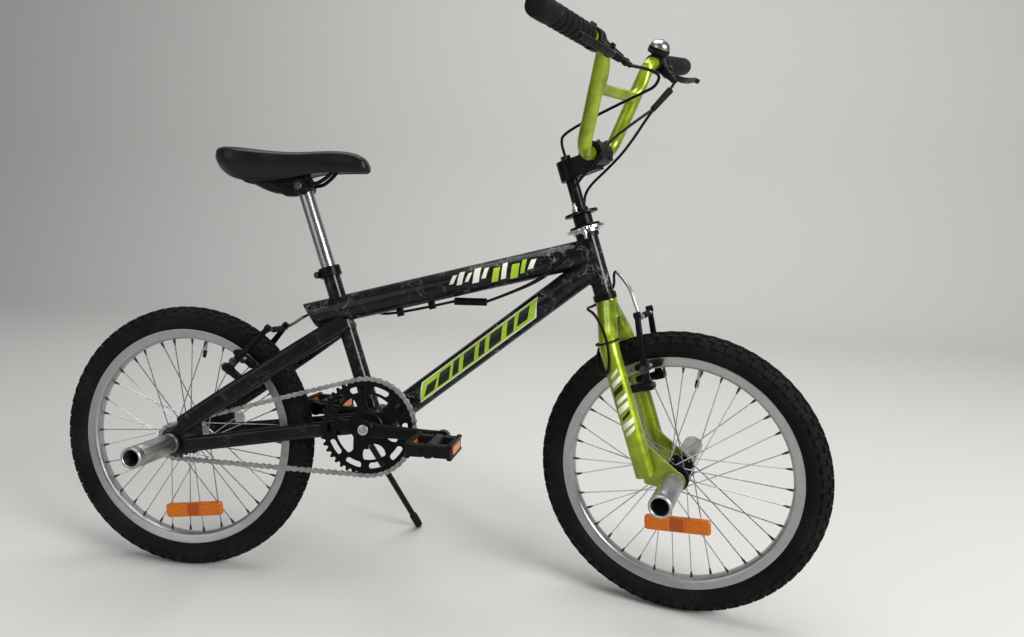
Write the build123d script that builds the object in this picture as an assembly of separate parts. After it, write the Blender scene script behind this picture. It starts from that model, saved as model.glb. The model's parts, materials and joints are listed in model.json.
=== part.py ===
"""A freestyle bicycle parked on its side stand, one STEP file per subcomponent, millimetres, +Z up.

Every piece is modelled on the bicycle standing upright and steering straight, with the rear axle
above the origin, then moved into the parked pose: leaning on the stand with the bars turned right.
"""

import math
import os

from build123d import *

# Parked pose
LEAN_DEG = 8.26
STEER_DEG = 15.2

# Wheels
WHEEL_R = 254.0
TYRE_DEPTH = 45.0
RIM_DEPTH = 16.0
RIM_HALF = 13.0
RIM_INNER_HALF = 11.0
WHEELBASE = 939.4
SPOKES = 36
SPOKE_R = 1.0
SPOKE_CROSS = 6.0
NIPPLE_Y = 4.0
FLANGE_R = 24.0
FLANGE_Y = 29.0
REFLECTOR = (116.0, 27.0, 10.0)
AXLE_R = 5.0
RUN_GAP = 0.05
FACE_GAP = 0.3

# Steering
HEAD_DEG = 71.7
FORK_OFFSET = 41.0
STEERER_R = 12.7
CABLE_BORE_R = 6.0
CABLE_R = 2.5
CROWN_T = 296.0
CROWN_H = 34.0
CROWN_R = 19.5
HEAD_LEN = 105.0
HEAD_R = 18.0
CUP_R = 21.0
CUP_H = 12.0
LEG_R = 17.0
LEG_Y = 60.0
LOCKNUT_H = 22.0
ROTOR_T = 5.0
ROTOR_R = 34.0
ROTOR_EAR = 32.0
UPPER_ROTOR_R = 30.0
UPPER_ROTOR_EAR = 30.0
EAR_R = 8.0

# Frame
BB_X = 376.6
BB_Z = 306.0
BB_R = 28.5
BB_HALF = 34.0
TOP_R = 25.0
DOWN_R = 23.0
SEAT_TUBE_R = 15.9
POST_R = 13.5
SEAT_TOP = (277.0, 594.0)
PLATE_T = 6.0
REAR_PLATE_Y = 56.0
FRONT_PLATE_Y = 46.0

# Drive
PITCH = 12.7
RING_TEETH = 44
COG_TEETH = 16
CHAIN_Y = -49.0
CHAIN_HALF = 4.0
CHAIN_RISE = 4.4
CHAIN_WAIST = 3.0
CHAIN_LINKS = 90
TOOTH_DEPTH = 3.0
TOOTH_GAP = 0.5
PLATE_HALF = 1.5
CRANK_LEN = 145.0
CRANK_DEG = -2.0
SPINDLE_R = 11.0
ARM_Y = (58.0, 72.0)
PEDAL_Y = (88.0, 173.0)
PEDAL_LONG = 80.0
PEDAL_THICK = 26.0
PEDAL_PIN_R = 6.0

# Handlebar
BAR_TWIST_DEG = 8.5
BAR_R = 12.2
BAR_END = (823.0, 310.0, 990.0)
BAR_TOP = (830.0, 99.0, 969.0)
BAR_FOOT = (773.0, 57.0, 810.0)
CROSS_R = 9.5
CROSS_Z = 910.0
GRIP_R = 16.5
GRIP_LEN = 150.0
QUILL_R = 11.1
QUILL_T = 500.0
STEM_T = 552.0
STEM_TOP_T = 588.0
STEM_R = 19.0
STEM_CLAMP_R = 22.0
STEM_HALF = 25.0

# Pegs
PEG_R = 19.0
PEG_BORE_R = 14.5
PEG_BASE = 8.0
WASHER = 4.0

# Stand
STAND_PIVOT = (345.0, 30.0, 262.0)
STAND_STOW = (-0.985, 0.05, -0.16)
FOOT_SPOT = (408.5, 215.4)
LEG_ROD_R = 8.0
FOOT_R = 10.5
STAND_PIN_R = 4.0
STAND_HUB_R = 11.0
STAND_HUB = 18.0

SIDES = (("right", -1), ("left", 1))

RING_PITCH_R = PITCH / 2 / math.sin(math.pi / RING_TEETH)
COG_PITCH_R = PITCH / 2 / math.sin(math.pi / COG_TEETH)
RIM_R = WHEEL_R - TYRE_DEPTH
RIM_INNER_R = RIM_R - RIM_DEPTH
TYRE_R = (TYRE_DEPTH ** 2 + RIM_HALF ** 2) / (2 * TYRE_DEPTH)
TYRE_RING_R = WHEEL_R - TYRE_R
BRAKE_PAD_R = (RIM_R + RIM_INNER_R) / 2
CUP_T = CROWN_T + CROWN_H
HEAD_T = CUP_T + CUP_H
HEAD_TOP_T = HEAD_T + HEAD_LEN
HEAD = math.radians(HEAD_DEG)
UP_AXIS = Vector(-math.cos(HEAD), 0, math.sin(HEAD))
FORWARD = Vector(math.sin(HEAD), 0, math.cos(HEAD))
ACROSS = Vector(0, 1, 0)
REAR = Vector(0, 0, WHEEL_R)
FRONT = Vector(WHEELBASE, 0, WHEEL_R)
BB = Vector(BB_X, 0, BB_Z)
HEAD_FOOT = FRONT - FORWARD * FORK_OFFSET


def on_head(along, ahead=0.0, side=0.0):
    """A point given along the steering axis, ahead of it and to the left of it."""
    return HEAD_FOOT + UP_AXIS * along + FORWARD * ahead + ACROSS * side


def turned_right(degrees):
    """A turn to the right about the steering axis."""
    axle = Plane(origin=HEAD_FOOT, x_dir=ACROSS, z_dir=UP_AXIS).location
    return axle * Rot(Z=-degrees) * axle.inverse()


def rod(start, end, radius):
    """A solid cylinder between two points."""
    start = Vector(start)
    end = Vector(end)
    return extrude(Plane(origin=start, z_dir=end - start) * Circle(radius), (end - start).length)


def pipe(start, end, outer, inner):
    """A hollow cylinder between two points."""
    return rod(start, end, outer) - rod(start, end, inner)


def spin(centre, low, high, radius):
    """A cylinder across the bicycle, between two offsets to the left of a centre."""
    return rod(centre + ACROSS * low, centre + ACROSS * high, radius)


def side_plane(y):
    """The plane across the bicycle at an offset, with X forward and Y up, facing right."""
    return Plane(origin=(0, y, 0), x_dir=(1, 0, 0), z_dir=(0, -1, 0))


def slab(points, low, high):
    """A flat plate from a side outline of x, z points, between two offsets to the left."""
    return extrude(side_plane(high) * Polygon(*points, align=None), high - low, dir=(0, -1, 0))


def link(first, first_r, second, second_r, low, high):
    """A flat link round two circles in the side view, between two offsets to the left."""
    ends = (Pos(first.X, first.Z) * Circle(first_r)).edges()
    ends += (Pos(second.X, second.Z) * Circle(second_r)).edges()
    return extrude(side_plane(high) * make_hull(ends), high - low, dir=(0, -1, 0))


def block(centre, along, size, low, high):
    """A box between two offsets to the left, sized along and square to a direction in side view."""
    plane = Plane(origin=centre + ACROSS * low, x_dir=along, z_dir=(0, 1, 0))
    return extrude(plane * Rectangle(*size), high - low)


def cord(points, bends, radius):
    """A round cord along straight runs joined by arcs."""
    path = FilletPolyline(*points, radius=bends)
    return sweep(Plane(origin=path @ 0, z_dir=path % 0) * Circle(radius), path)


def oval(points, bends, tall, wide):
    """A tube of oval section, tall in side view, along straight runs joined by arcs."""
    path = FilletPolyline(*points, radius=bends)
    start = path % 0
    rise = Vector(0, 0, 1) - start * start.Z
    return sweep(Plane(origin=path @ 0, x_dir=rise, z_dir=start) * SlotOverall(tall, wide), path)


def joined(shapes):
    """One shape of several fused together."""
    first, *rest = shapes
    return first.fuse(*rest) if rest else first


def mirrored(shape):
    """The same shape on the right of the bicycle."""
    return mirror(shape, Plane.XZ)


def pair(shape):
    """A shape on the left with its twin on the right."""
    return [shape, mirrored(shape)]


nodes = {}


def keep(name, body, shapes):
    """Store a node: its solids and the group it is posed with."""
    solids = []
    for shape in shapes if isinstance(shapes, (list, tuple)) else [shapes]:
        solids += shape.solids()
    nodes[name] = (body, solids)


# Frame tubes
seat_top = Vector(SEAT_TOP[0], 0, SEAT_TOP[1])
seat_dir = (seat_top - BB).normalized()
top_start = Vector(215.0, 0, 493.5)
top_dir = Vector(397.8, 0, 104.8).normalized()
top_end = top_start + top_dir * 590
down_start = Vector(BB_X, 0, 295.6)
down_end = down_start + Vector(500, 0, 402.35)
head_core = rod(on_head(HEAD_T - 60), on_head(HEAD_TOP_T + 60), HEAD_R)
bb_core = spin(BB, -80, 80, BB_R)
seat_core = rod(BB, seat_top, SEAT_TUBE_R)
top_core = rod(top_start, top_end, TOP_R)
tail_cut = spin(Vector(188.2, 0, 460.9), -40, 40, 75)
front_half = block(on_head(390, 200), FORWARD, (400, 400), -60, 60)
head_tube = pipe(on_head(HEAD_T), on_head(HEAD_TOP_T), HEAD_R, HEAD_R - 3)
top_whole = top_core - tail_cut - head_core - front_half
top_tube = top_whole - seat_core
seat_bore = rod(seat_top - seat_dir * 95, seat_top + seat_dir, POST_R)
seat_tube = seat_core - bb_core - seat_bore
down_tube = rod(down_start, down_end, DOWN_R) - bb_core - head_core - front_half
down_tube = down_tube - top_core - seat_core
bb_shell = spin(BB, -BB_HALF, BB_HALF, BB_R) - spin(BB, -BB_HALF, BB_HALF, BB_R - 3.5)
bb_cup = spin(BB, 20, BB_HALF, BB_R - 3.5) + spin(BB, BB_HALF, BB_HALF + 3, BB_R - 1.5)
bb_cup = bb_cup - spin(BB, 10, 50, SPINDLE_R + RUN_GAP)

# Rear triangle
drop_outline = ((0, 233), (50, 238), (62, 268), (54, 322), (20, 302), (0, 275))
drop_plate = slab(drop_outline, REAR_PLATE_Y, REAR_PLATE_Y + PLATE_T)
drop_plate = drop_plate + spin(REAR, REAR_PLATE_Y, REAR_PLATE_Y + PLATE_T, 22)
drop_plate = drop_plate - spin(REAR, 40, 80, AXLE_R)
drop_slot = slab(drop_outline, REAR_PLATE_Y, REAR_PLATE_Y + PLATE_T)
chain_stay = oval(((354, 33, 303.4), (270, 35, 290.7), (30, 62, 253)), 120, 29, 14)
chain_stay = chain_stay - bb_core - drop_slot
seat_stay = oval(((24, 64, 291), (105, 64, 347), (240, 37, 441), (318, 13, 495)), 90, 34, 18)
seat_stay = seat_stay - seat_core - top_core - drop_slot

# Seat
clamp_ring = pipe(seat_top - seat_dir * 18, seat_top, SEAT_TUBE_R + 4.5, SEAT_TUBE_R)
clamp_lug = spin(seat_top - seat_dir * 9 - Vector(21, 0, 7), -12, 12, 6.5)
seat_clamp = clamp_ring + (clamp_lug - rod(BB, seat_top + seat_dir * 20, SEAT_TUBE_R))
clamp_spot = BB + seat_dir * 461
saddle_head = spin(clamp_spot, -26, 26, 15)
seat_post = rod(seat_top - seat_dir * 90, BB + seat_dir * 455, POST_R) - saddle_head
saddle_side = (
    (64, 790), (76, 814), (120, 812), (194, 806), (276, 809), (330, 800),
    (352, 778), (344, 770), (270, 768), (200, 748), (130, 744), (75, 765),
)
saddle_half = (
    (64, 36), (76, 60), (104, 75), (150, 70), (200, 46),
    (250, 27), (300, 21), (340, 17), (352, 8),
)
saddle_plan = saddle_half + tuple((x, -y) for x, y in reversed(saddle_half))
hollow_half = ((86, 50), (150, 54), (200, 37), (245, 24), (310, 12))
hollow_plan = hollow_half + tuple((x, -y) for x, y in reversed(hollow_half))
saddle = slab(saddle_side, -90, 90)
saddle = saddle & extrude(Plane.XY.offset(700) * Polygon(*saddle_plan, align=None), 200, dir=(0, 0, 1))
saddle = saddle - extrude(Plane.XY.offset(720) * Polygon(*hollow_plan, align=None), 58, dir=(0, 0, 1))
rail_path = ((335, 6, 792), (288, 9, 752), (214, 21, 747), (150, 21, 747), (76, 27, 784))
rail = cord(rail_path, 18, 3.5) - saddle
rails = pair(rail)
saddle_clamp = saddle_head - rails[0] - rails[1]

keep("head_tube", "frame", head_tube)
keep("top_tube", "frame", top_tube)
keep("down_tube", "frame", down_tube)
keep("seat_tube", "frame", seat_tube)
keep("bottom_bracket", "frame", [bb_shell, *pair(bb_cup)])
keep("chain_stays", "frame", pair(chain_stay))
keep("seat_stays", "frame", pair(seat_stay))
keep("rear_dropouts", "frame", pair(drop_plate))
keep("seat_clamp", "frame", seat_clamp)
keep("seat_post", "frame", seat_post)
keep("saddle_rails", "frame", [saddle_clamp, *rails])
keep("saddle", "frame", saddle)

# Headset and the lower rotor plate
lower_cup = pipe(on_head(CUP_T + FACE_GAP), on_head(HEAD_T), CUP_R, STEERER_R + RUN_GAP)
upper_cup = pipe(on_head(HEAD_TOP_T), on_head(HEAD_TOP_T + CUP_H), CUP_R, STEERER_R + RUN_GAP)
rotor_t = HEAD_TOP_T + CUP_H


def rotor_plate(along, radius, ear, bore):
    """A round plate on the steering axis with an ear on each side for the cable ends."""
    plate = rod(on_head(along), on_head(along + ROTOR_T), radius)
    for name, side in SIDES:
        plate = plate + rod(on_head(along, 0, ear * side), on_head(along + ROTOR_T, 0, ear * side), EAR_R)
    return plate - rod(on_head(along - 1), on_head(along + ROTOR_T + 1), bore)


rotor = rotor_plate(rotor_t, ROTOR_R, ROTOR_EAR, STEERER_R + 3.3)
keep("headset_cups", "frame", [lower_cup, upper_cup])
keep("rotor_lower_plate", "frame", rotor)


def wheel(name, body, centre, hub, reflector_r, reflector_deg):
    """Tyre, rim, spokes, hub and reflector of one wheel."""
    hole_r = FLANGE_R - 3
    section = Plane(origin=centre, x_dir=(1, 0, 0), z_dir=(0, 0, 1))
    bead = (RIM_R, RIM_HALF)
    crown = ThreePointArc(bead, (WHEEL_R, 0), (RIM_R, -RIM_HALF))
    tyre_face = make_face([crown, Line((RIM_R, -RIM_HALF), bead)])
    rim_face = Polygon(
        (RIM_R, RIM_HALF), (RIM_R, -RIM_HALF), (RIM_INNER_R, -RIM_INNER_HALF), (RIM_INNER_R, RIM_INNER_HALF),
        align=None,
    )
    axle_line = Axis(centre, (0, 1, 0))
    spokes = []
    for index in range(SPOKES):
        side = 1 if index % 2 else -1
        lead = 1 if index % 4 < 2 else -1
        at_rim = math.radians(360 / SPOKES * index)
        at_hub = at_rim + lead * math.radians(360 / SPOKES * SPOKE_CROSS)
        hole_y = side * FLANGE_Y + 1.8 * lead
        hole = Vector(hole_r * math.cos(at_hub), hole_y, hole_r * math.sin(at_hub))
        nipple = Vector(RIM_INNER_R * math.cos(at_rim), side * NIPPLE_Y, RIM_INNER_R * math.sin(at_rim))
        spokes.append(rod(centre + hole, centre + nipple, SPOKE_R))
    rim = revolve(section * rim_face, axle_line)
    spokes = [spoke - rim for spoke in spokes]
    turn = math.radians(reflector_deg)
    spot = centre + Vector(math.cos(turn), 0, math.sin(turn)) * reflector_r
    tangent = Vector(-math.sin(turn), 0, math.cos(turn))
    inward = (reflector_r - hole_r) / (RIM_INNER_R - hole_r)
    depth = FLANGE_Y + (NIPPLE_Y - FLANGE_Y) * inward
    half = REFLECTOR[2] / 2
    reflector = block(spot, tangent, REFLECTOR[:2], -depth - half, -depth + half)
    for spoke in spokes:
        reflector = reflector - spoke
    keep(f"{name}_tyre", body, revolve(section * tyre_face, axle_line))
    keep(f"{name}_rim", body, rim)
    keep(f"{name}_spokes", body, [spoke - hub for spoke in spokes])
    keep(f"{name}_hub", body, hub)
    keep(f"{name}_reflector", body, reflector)


def hub_of(centre, half):
    """A hub shell with two flanges, bored to run on its axle."""
    shell = spin(centre, -half, half, 11) + spin(centre, -FLANGE_Y, FLANGE_Y, 15)
    for name, side in SIDES:
        shell = shell + spin(centre, side * FLANGE_Y - 3.5, side * FLANGE_Y + 3.5, FLANGE_R)
    return shell - spin(centre, -half - 1, half + 1, AXLE_R + RUN_GAP)


def axle_of(centre, half, plate_y):
    """An axle with its cones, washers and peg nuts."""
    base = plate_y + PLATE_T + WASHER
    shape = spin(centre, -base - PEG_BASE - 10, base + PEG_BASE + 10, AXLE_R)
    for low, high, radius in (
        (half + FACE_GAP, plate_y, 9),
        (plate_y + PLATE_T, base, 14),
        (base + PEG_BASE, base + PEG_BASE + 8, 9),
    ):
        shape = shape + spin(centre, low, high, radius) + spin(centre, -high, -low, radius)
    return shape


def pegs_of(centre, plate_y, tip):
    """Two foot pegs, hollow from the tip to the base that the axle nut holds."""
    base = plate_y + PLATE_T + WASHER
    peg = spin(centre, base, tip, PEG_R) - spin(centre, base + PEG_BASE, tip, PEG_BORE_R)
    return pair(peg - spin(centre, base, base + PEG_BASE, AXLE_R))


# Wheels
HUB_HALF = {"rear": REAR_PLATE_Y - 3, "front": FRONT_PLATE_Y - 3}
core_r = 19.95
rear_hub = hub_of(REAR, HUB_HALF["rear"]) + spin(REAR, -52, -38, core_r)
rear_hub = rear_hub - spin(REAR, -60, 60, AXLE_R + RUN_GAP)
wheel("rear", "rear_wheel", REAR, rear_hub, 143, -83)
wheel("front", "front_wheel", FRONT, hub_of(FRONT, HUB_HALF["front"]), 88, -86)
keep("rear_axle", "frame", axle_of(REAR, HUB_HALF["rear"], REAR_PLATE_Y))
keep("front_axle", "steer", axle_of(FRONT, HUB_HALF["front"], FRONT_PLATE_Y))
keep("rear_pegs", "frame", pegs_of(REAR, REAR_PLATE_Y, 180))
keep("front_pegs", "steer", pegs_of(FRONT, FRONT_PLATE_Y, 169))

# Drive: the chain's pins lie evenly on a belt round the ring and the sprocket
belt_run = BB - REAR
belt_span = math.hypot(belt_run.X, belt_run.Z)
belt_tilt = math.atan2(belt_run.Z, belt_run.X)
belt_wrap = math.acos((COG_PITCH_R - RING_PITCH_R) / belt_span)
belt_straight = math.sqrt(belt_span ** 2 - (RING_PITCH_R - COG_PITCH_R) ** 2)
ring_arc = 2 * RING_PITCH_R * belt_wrap
cog_arc = 2 * COG_PITCH_R * (math.pi - belt_wrap)
belt_length = ring_arc + cog_arc + 2 * belt_straight


def on_belt(along, rise):
    """An x, z point along the chain from the foot of the ring, raised outward from its pins' line."""
    low = belt_tilt - belt_wrap
    high = belt_tilt + belt_wrap
    if along < ring_arc:
        turn = low + along / RING_PITCH_R
        return polar(BB, turn, RING_PITCH_R + rise)
    along -= ring_arc
    if along < belt_straight:
        start = polar(BB, high, RING_PITCH_R + rise)
        end = polar(REAR, high, COG_PITCH_R + rise)
        return between(start, end, along / belt_straight)
    along -= belt_straight
    if along < cog_arc:
        return polar(REAR, high + along / COG_PITCH_R, COG_PITCH_R + rise)
    along -= cog_arc
    start = polar(REAR, low, COG_PITCH_R + rise)
    end = polar(BB, low, RING_PITCH_R + rise)
    return between(start, end, along / belt_straight)


def polar(centre, turn, radius):
    """The x, z point at an angle and a radius in side view."""
    return centre.X + radius * math.cos(turn), centre.Z + radius * math.sin(turn)


def between(start, end, share):
    """The x, z point at a share of the way between two others."""
    return start[0] + (end[0] - start[0]) * share, start[1] + (end[1] - start[1]) * share


def chain_edge(side):
    """One edge of the chain in side view, wide at its pins and narrow at the waists between."""
    half_link = belt_length / CHAIN_LINKS / 2
    return [
        on_belt(half_link * step, side * (CHAIN_WAIST if step % 2 else CHAIN_RISE))
        for step in range(2 * CHAIN_LINKS)
    ]


def toothed(centre, teeth, pitch_r):
    """A toothed plate that stays clear inside the chain's inner edge."""
    tip = pitch_r - CHAIN_RISE - TOOTH_GAP
    step = 2 * math.pi / teeth
    outline = []
    for index in range(teeth):
        for share, radius in ((-0.3, tip - TOOTH_DEPTH), (-0.12, tip), (0.12, tip), (0.3, tip - TOOTH_DEPTH)):
            outline.append(polar(centre, (index + share) * step, radius))
    return slab(outline, CHAIN_Y - PLATE_HALF, CHAIN_Y + PLATE_HALF)


chain_low = CHAIN_Y - CHAIN_HALF
chain_high = CHAIN_Y + CHAIN_HALF
chain = slab(chain_edge(1), chain_low, chain_high) - slab(chain_edge(-1), chain_low, chain_high)
ring = toothed(BB, RING_TEETH, RING_PITCH_R) - spin(BB, -90, 0, SPINDLE_R)
for index in range(5):
    turn = math.radians(72 * index + 36)
    window = BB + Vector(math.cos(turn), 0, math.sin(turn)) * 52
    ring = ring - spin(window, -90, 0, 20)
cog = toothed(REAR, COG_TEETH, COG_PITCH_R) - spin(REAR, -90, 0, core_r + RUN_GAP)
crank_turn = math.radians(CRANK_DEG)
crank_dir = Vector(math.cos(crank_turn), 0, math.sin(crank_turn))
pedal_right = BB + crank_dir * CRANK_LEN
pedal_left = BB - crank_dir * CRANK_LEN
crank = spin(BB, -ARM_Y[1], ARM_Y[1], SPINDLE_R)
crank = crank + link(BB, 17, pedal_right, 13, -ARM_Y[1], -ARM_Y[0])
crank = crank + link(BB, 17, pedal_left, 13, ARM_Y[0], ARM_Y[1])
crank = crank + spin(BB, -ARM_Y[0], CHAIN_Y - PLATE_HALF, 22)
crank = crank + spin(pedal_right, -PEDAL_Y[1] + 8, -ARM_Y[1], PEDAL_PIN_R)
crank = crank + spin(pedal_left, ARM_Y[1], PEDAL_Y[1] - 8, PEDAL_PIN_R)


def pedal(name, centre, side):
    """One pedal with its two reflectors, bored to run on its pin."""
    low, high = sorted((side * PEDAL_Y[0], side * PEDAL_Y[1]))
    body = block(centre, (1, 0, 0), (PEDAL_LONG, PEDAL_THICK), low, high)
    for ahead in (-1, 1):
        gap = centre + Vector(ahead * 23, 0, 0)
        body = body - block(gap, (1, 0, 0), (20, PEDAL_THICK + 2), low + 10, high - 10)
        notch = centre + Vector(ahead * (PEDAL_LONG / 2 - 1.5), 0, 0)
        body = body - block(notch, (1, 0, 0), (3, 14), low + 18, high - 18)
    body = body - spin(centre, low - 1, high + 1, PEDAL_PIN_R + RUN_GAP)
    lenses = []
    for ahead in (-1, 1):
        notch = centre + Vector(ahead * (PEDAL_LONG / 2 - 1.5), 0, 0)
        lenses.append(block(notch, (1, 0, 0), (3, 14), low + 18, high - 18))
    keep(f"pedal_{name}", f"pedal_{name}", body)
    keep(f"pedal_{name}_reflectors", f"pedal_{name}", lenses)


keep("chain", "frame", chain)
keep("chainring", "crank", ring)
keep("rear_sprocket", "sprocket", cog)
keep("crank", "crank", crank)
pedal("right", pedal_right, -1)
pedal("left", pedal_left, 1)

# Fork
crown = rod(on_head(CROWN_T), on_head(CUP_T), CROWN_R)
crown = crown + rod(on_head(CUP_T), on_head(QUILL_T), STEERER_R)
crown = crown - rod(on_head(CROWN_T - 1), on_head(QUILL_T + 1), CABLE_BORE_R)
crown_core = rod(on_head(CROWN_T - 10), on_head(CUP_T + 30), CROWN_R)
plate_corners = ((104, -8), (6, -8), (-16, FORK_OFFSET), (16, FORK_OFFSET + 12))
plate_outline = [(spot.X, spot.Z) for spot in (on_head(*corner) for corner in plate_corners)]
fork_plate = slab(plate_outline, FRONT_PLATE_Y, FRONT_PLATE_Y + PLATE_T)
fork_plate = fork_plate + spin(FRONT, FRONT_PLATE_Y, FRONT_PLATE_Y + PLATE_T, 20)
fork_plate = fork_plate - spin(FRONT, 30, 70, AXLE_R)
leg_path = [on_head(22, 0, LEG_Y), on_head(255, 0, LEG_Y), on_head(322, 0, 6)]
leg_core = cord(leg_path, 48, LEG_R)
leg = leg_core - crown_core - fork_plate
leg = leg & block(on_head(CUP_T - 250), FORWARD, (200, 500), 0.5, 120)
keep("fork_crown", "steer", crown)
keep("fork_legs", "steer", [*pair(leg), *pair(fork_plate)])

# Upper rotor plate, stem and handlebar
lock_t = rotor_t + ROTOR_T + 2
upper_t = lock_t + LOCKNUT_H
locknut = pipe(on_head(lock_t), on_head(upper_t), 17, STEERER_R)
upper = rotor_plate(upper_t, UPPER_ROTOR_R, UPPER_ROTOR_EAR, STEERER_R)
bar_foot = Vector(BAR_FOOT[0], 0, BAR_FOOT[2])
clamp_t = (bar_foot - HEAD_FOOT).dot(UP_AXIS)
clamp_f = (bar_foot - HEAD_FOOT).dot(FORWARD)
clamp_roll = spin(bar_foot, -STEM_HALF, STEM_HALF, STEM_CLAMP_R)
neck = block(on_head((STEM_T + STEM_TOP_T) / 2, clamp_f / 2), FORWARD, (clamp_f, 34), -17, 17)
stem = rod(on_head(QUILL_T), on_head(STEM_T), QUILL_R) + rod(on_head(STEM_T), on_head(STEM_TOP_T), STEM_R)
stem = stem + neck + clamp_roll
stem = stem - block(on_head(clamp_t, clamp_f + 32), FORWARD, (60, 80), -40, 40)
stem = stem - spin(bar_foot, -40, 40, BAR_R)
stem = stem - rod(on_head(QUILL_T - 1), on_head(STEM_TOP_T + 2), CABLE_BORE_R)
stem_cap = clamp_roll & block(on_head(clamp_t, clamp_f + 34), FORWARD, (60, 80), -40, 40)
stem_cap = stem_cap - spin(bar_foot, -40, 40, BAR_R)
stem_bolt = pipe(on_head(STEM_TOP_T), on_head(STEM_TOP_T + 8), 9, CABLE_R + 0.5)
bar_left = [Vector(*BAR_END), Vector(*BAR_TOP), Vector(*BAR_FOOT)]
bar_right = [Vector(p.X, -p.Y, p.Z) for p in reversed(bar_left)]
bar_path = bar_left + bar_right
bar = cord(bar_path, [26, 38, 38, 26], BAR_R)
rise = (CROSS_Z - BAR_FOOT[2]) / (BAR_TOP[2] - BAR_FOOT[2])
cross_end = bar_left[2] + (bar_left[1] - bar_left[2]) * rise
bar = bar + rod(cross_end, Vector(cross_end.X, -cross_end.Y, cross_end.Z), CROSS_R)
grip_dir = (bar_left[0] - bar_left[1]).normalized()
lever_dir = Vector(0.8, 0, -0.6)
lever_dir = (lever_dir - grip_dir * lever_dir.dot(grip_dir)).normalized()


def on_grip(along, ahead=0.0):
    """A point along the left grip's line from the bend, and ahead of it towards the lever."""
    return bar_left[1] + grip_dir * along + lever_dir * ahead


grip_end = (bar_left[0] - bar_left[1]).length
grip = rod(on_grip(grip_end - GRIP_LEN), on_grip(grip_end + 4), GRIP_R)
grip = grip + rod(on_grip(grip_end - GRIP_LEN), on_grip(grip_end - GRIP_LEN + 5), GRIP_R + 5)
grip = grip - rod(on_grip(0), on_grip(grip_end), BAR_R)
lever_exit = on_grip(2, 57)
perch = rod(on_grip(31), on_grip(49), GRIP_R + 1) + rod(on_grip(38, 8), on_grip(14, 41), 9)
perch = perch + rod(on_grip(18, 36), lever_exit, 6)
blade = cord([on_grip(30, 26), on_grip(46, 47), on_grip(165, 52)], 14, 5)
lever = perch + blade - rod(on_grip(0), on_grip(grip_end), BAR_R)
bell_spot = on_grip(24)
bell_up = Vector(0.2, 0, 1)
bell_up = (bell_up - grip_dir * bell_up.dot(grip_dir)).normalized()


def on_bell(rise):
    """A point on the bell's own line, up from the middle of the bar."""
    return bell_spot + bell_up * rise


bell_base = rod(on_grip(19), on_grip(29), GRIP_R) + rod(bell_spot, on_bell(18), 9)
bell_base = bell_base + rod(on_bell(18), on_bell(23), 21)
bell_base = bell_base - rod(on_grip(0), on_grip(grip_end), BAR_R) - bar - lever
bell_dome = rod(on_bell(23), on_bell(32), 22) + rod(on_bell(32), on_bell(41), 16)

keep("rotor_upper_plate", "steer", [upper, locknut])
keep("stem", "bars", [stem, stem_bolt])
keep("stem_cap", "bars", stem_cap)
keep("handlebar", "bars", bar)
keep("grips", "bars", pair(grip))
keep("brake_levers", "bars", pair(lever))
keep("bell_base", "bars", bell_base)
keep("bell_dome", "bars", bell_dome)

# Brakes: arms on their bosses with the pads at the rim
rear_out = Vector(0.593, 0, 0.805).normalized()
rear_back = Vector(-rear_out.Z, 0, rear_out.X)


def on_rear(out, back=0.0, side=0.0):
    """A point out from the rear axle, back from that line and to the left."""
    return REAR + rear_out * out + rear_back * back + ACROSS * side


def brake_arm(spot, out, back, foot, top, pad_out, boss_depth):
    """One left brake arm with its boss, pad and stud."""
    foot_out, foot_back, foot_y = foot
    top_out, top_back, top_y = top
    low = spot(foot_out - 8, foot_back, foot_y)
    high = spot(top_out, top_back, top_y)
    plane = Plane(origin=low, x_dir=back, z_dir=high - low)
    arm = extrude(plane * Rectangle(11, 13), (high - low).length)
    boss = rod(spot(foot_out, foot_back - boss_depth, foot_y), spot(foot_out, foot_back + 10, foot_y), 7)
    share = (pad_out - foot_out) / (top_out - foot_out)
    pad_back = foot_back + (top_back - foot_back) * share
    pad_y = foot_y + (top_y - foot_y) * share
    pad = block(spot(pad_out, pad_back), back, (50, 11), 13.5, 24)
    stud = rod(spot(pad_out, pad_back, 24), spot(pad_out, pad_back, pad_y + 12), 4)
    return joined([arm, boss, pad, stud])


def on_front(out, ahead=0.0, side=0.0):
    """A point up the steering axis from the front axle's height, ahead and to the left."""
    return on_head(out, ahead, side)


rear_arm = brake_arm(on_rear, rear_out, rear_back, (180, 0, 52), (284, -10, 37), BRAKE_PAD_R, 42)
rear_arm = rear_arm - seat_stay
front_arm = brake_arm(on_front, UP_AXIS, FORWARD, (171, 44, 48), (292, 60, 50), BRAKE_PAD_R, 42)
front_arm = front_arm - leg_core
rear_noodle_path = [on_rear(279, -10, 24), on_rear(279, -10, 54), Vector(208, 46, 494)]
rear_noodle = cord(rear_noodle_path, 12, 3.2)
rear_link = rod(on_rear(279, -10, -33), on_rear(279, -10, 24), 1.6)
rear_boot = rod(on_rear(279, -10, -14), on_rear(279, -10, 24), 5.5)
front_noodle_path = [on_front(286, 59.3, -8), on_front(286, 59.3, -31), on_front(342, 53, -24)]
front_noodle = cord(front_noodle_path, 10, 3.2)
front_link = rod(on_front(286, 59.3, -28), on_front(286, 59.3, 46), 1.6)
front_link = front_link + rod(on_front(286, 59.3, -46), on_front(286, 59.3, -24), 5)
front_boot = rod(on_front(286, 59.3, -8), on_front(286, 59.3, 28), 5.5)
rear_pull = joined([rear_noodle, rear_boot, rear_link])
front_pull = joined([front_noodle, front_boot, front_link])
keep("rear_brake_arms", "frame", [arm - rear_pull for arm in pair(rear_arm)])
keep("front_brake_arms", "steer", [arm - front_pull for arm in pair(front_arm)])
keep("rear_brake_noodle", "frame", rear_pull)
keep("front_brake_noodle", "steer", front_pull)

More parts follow.
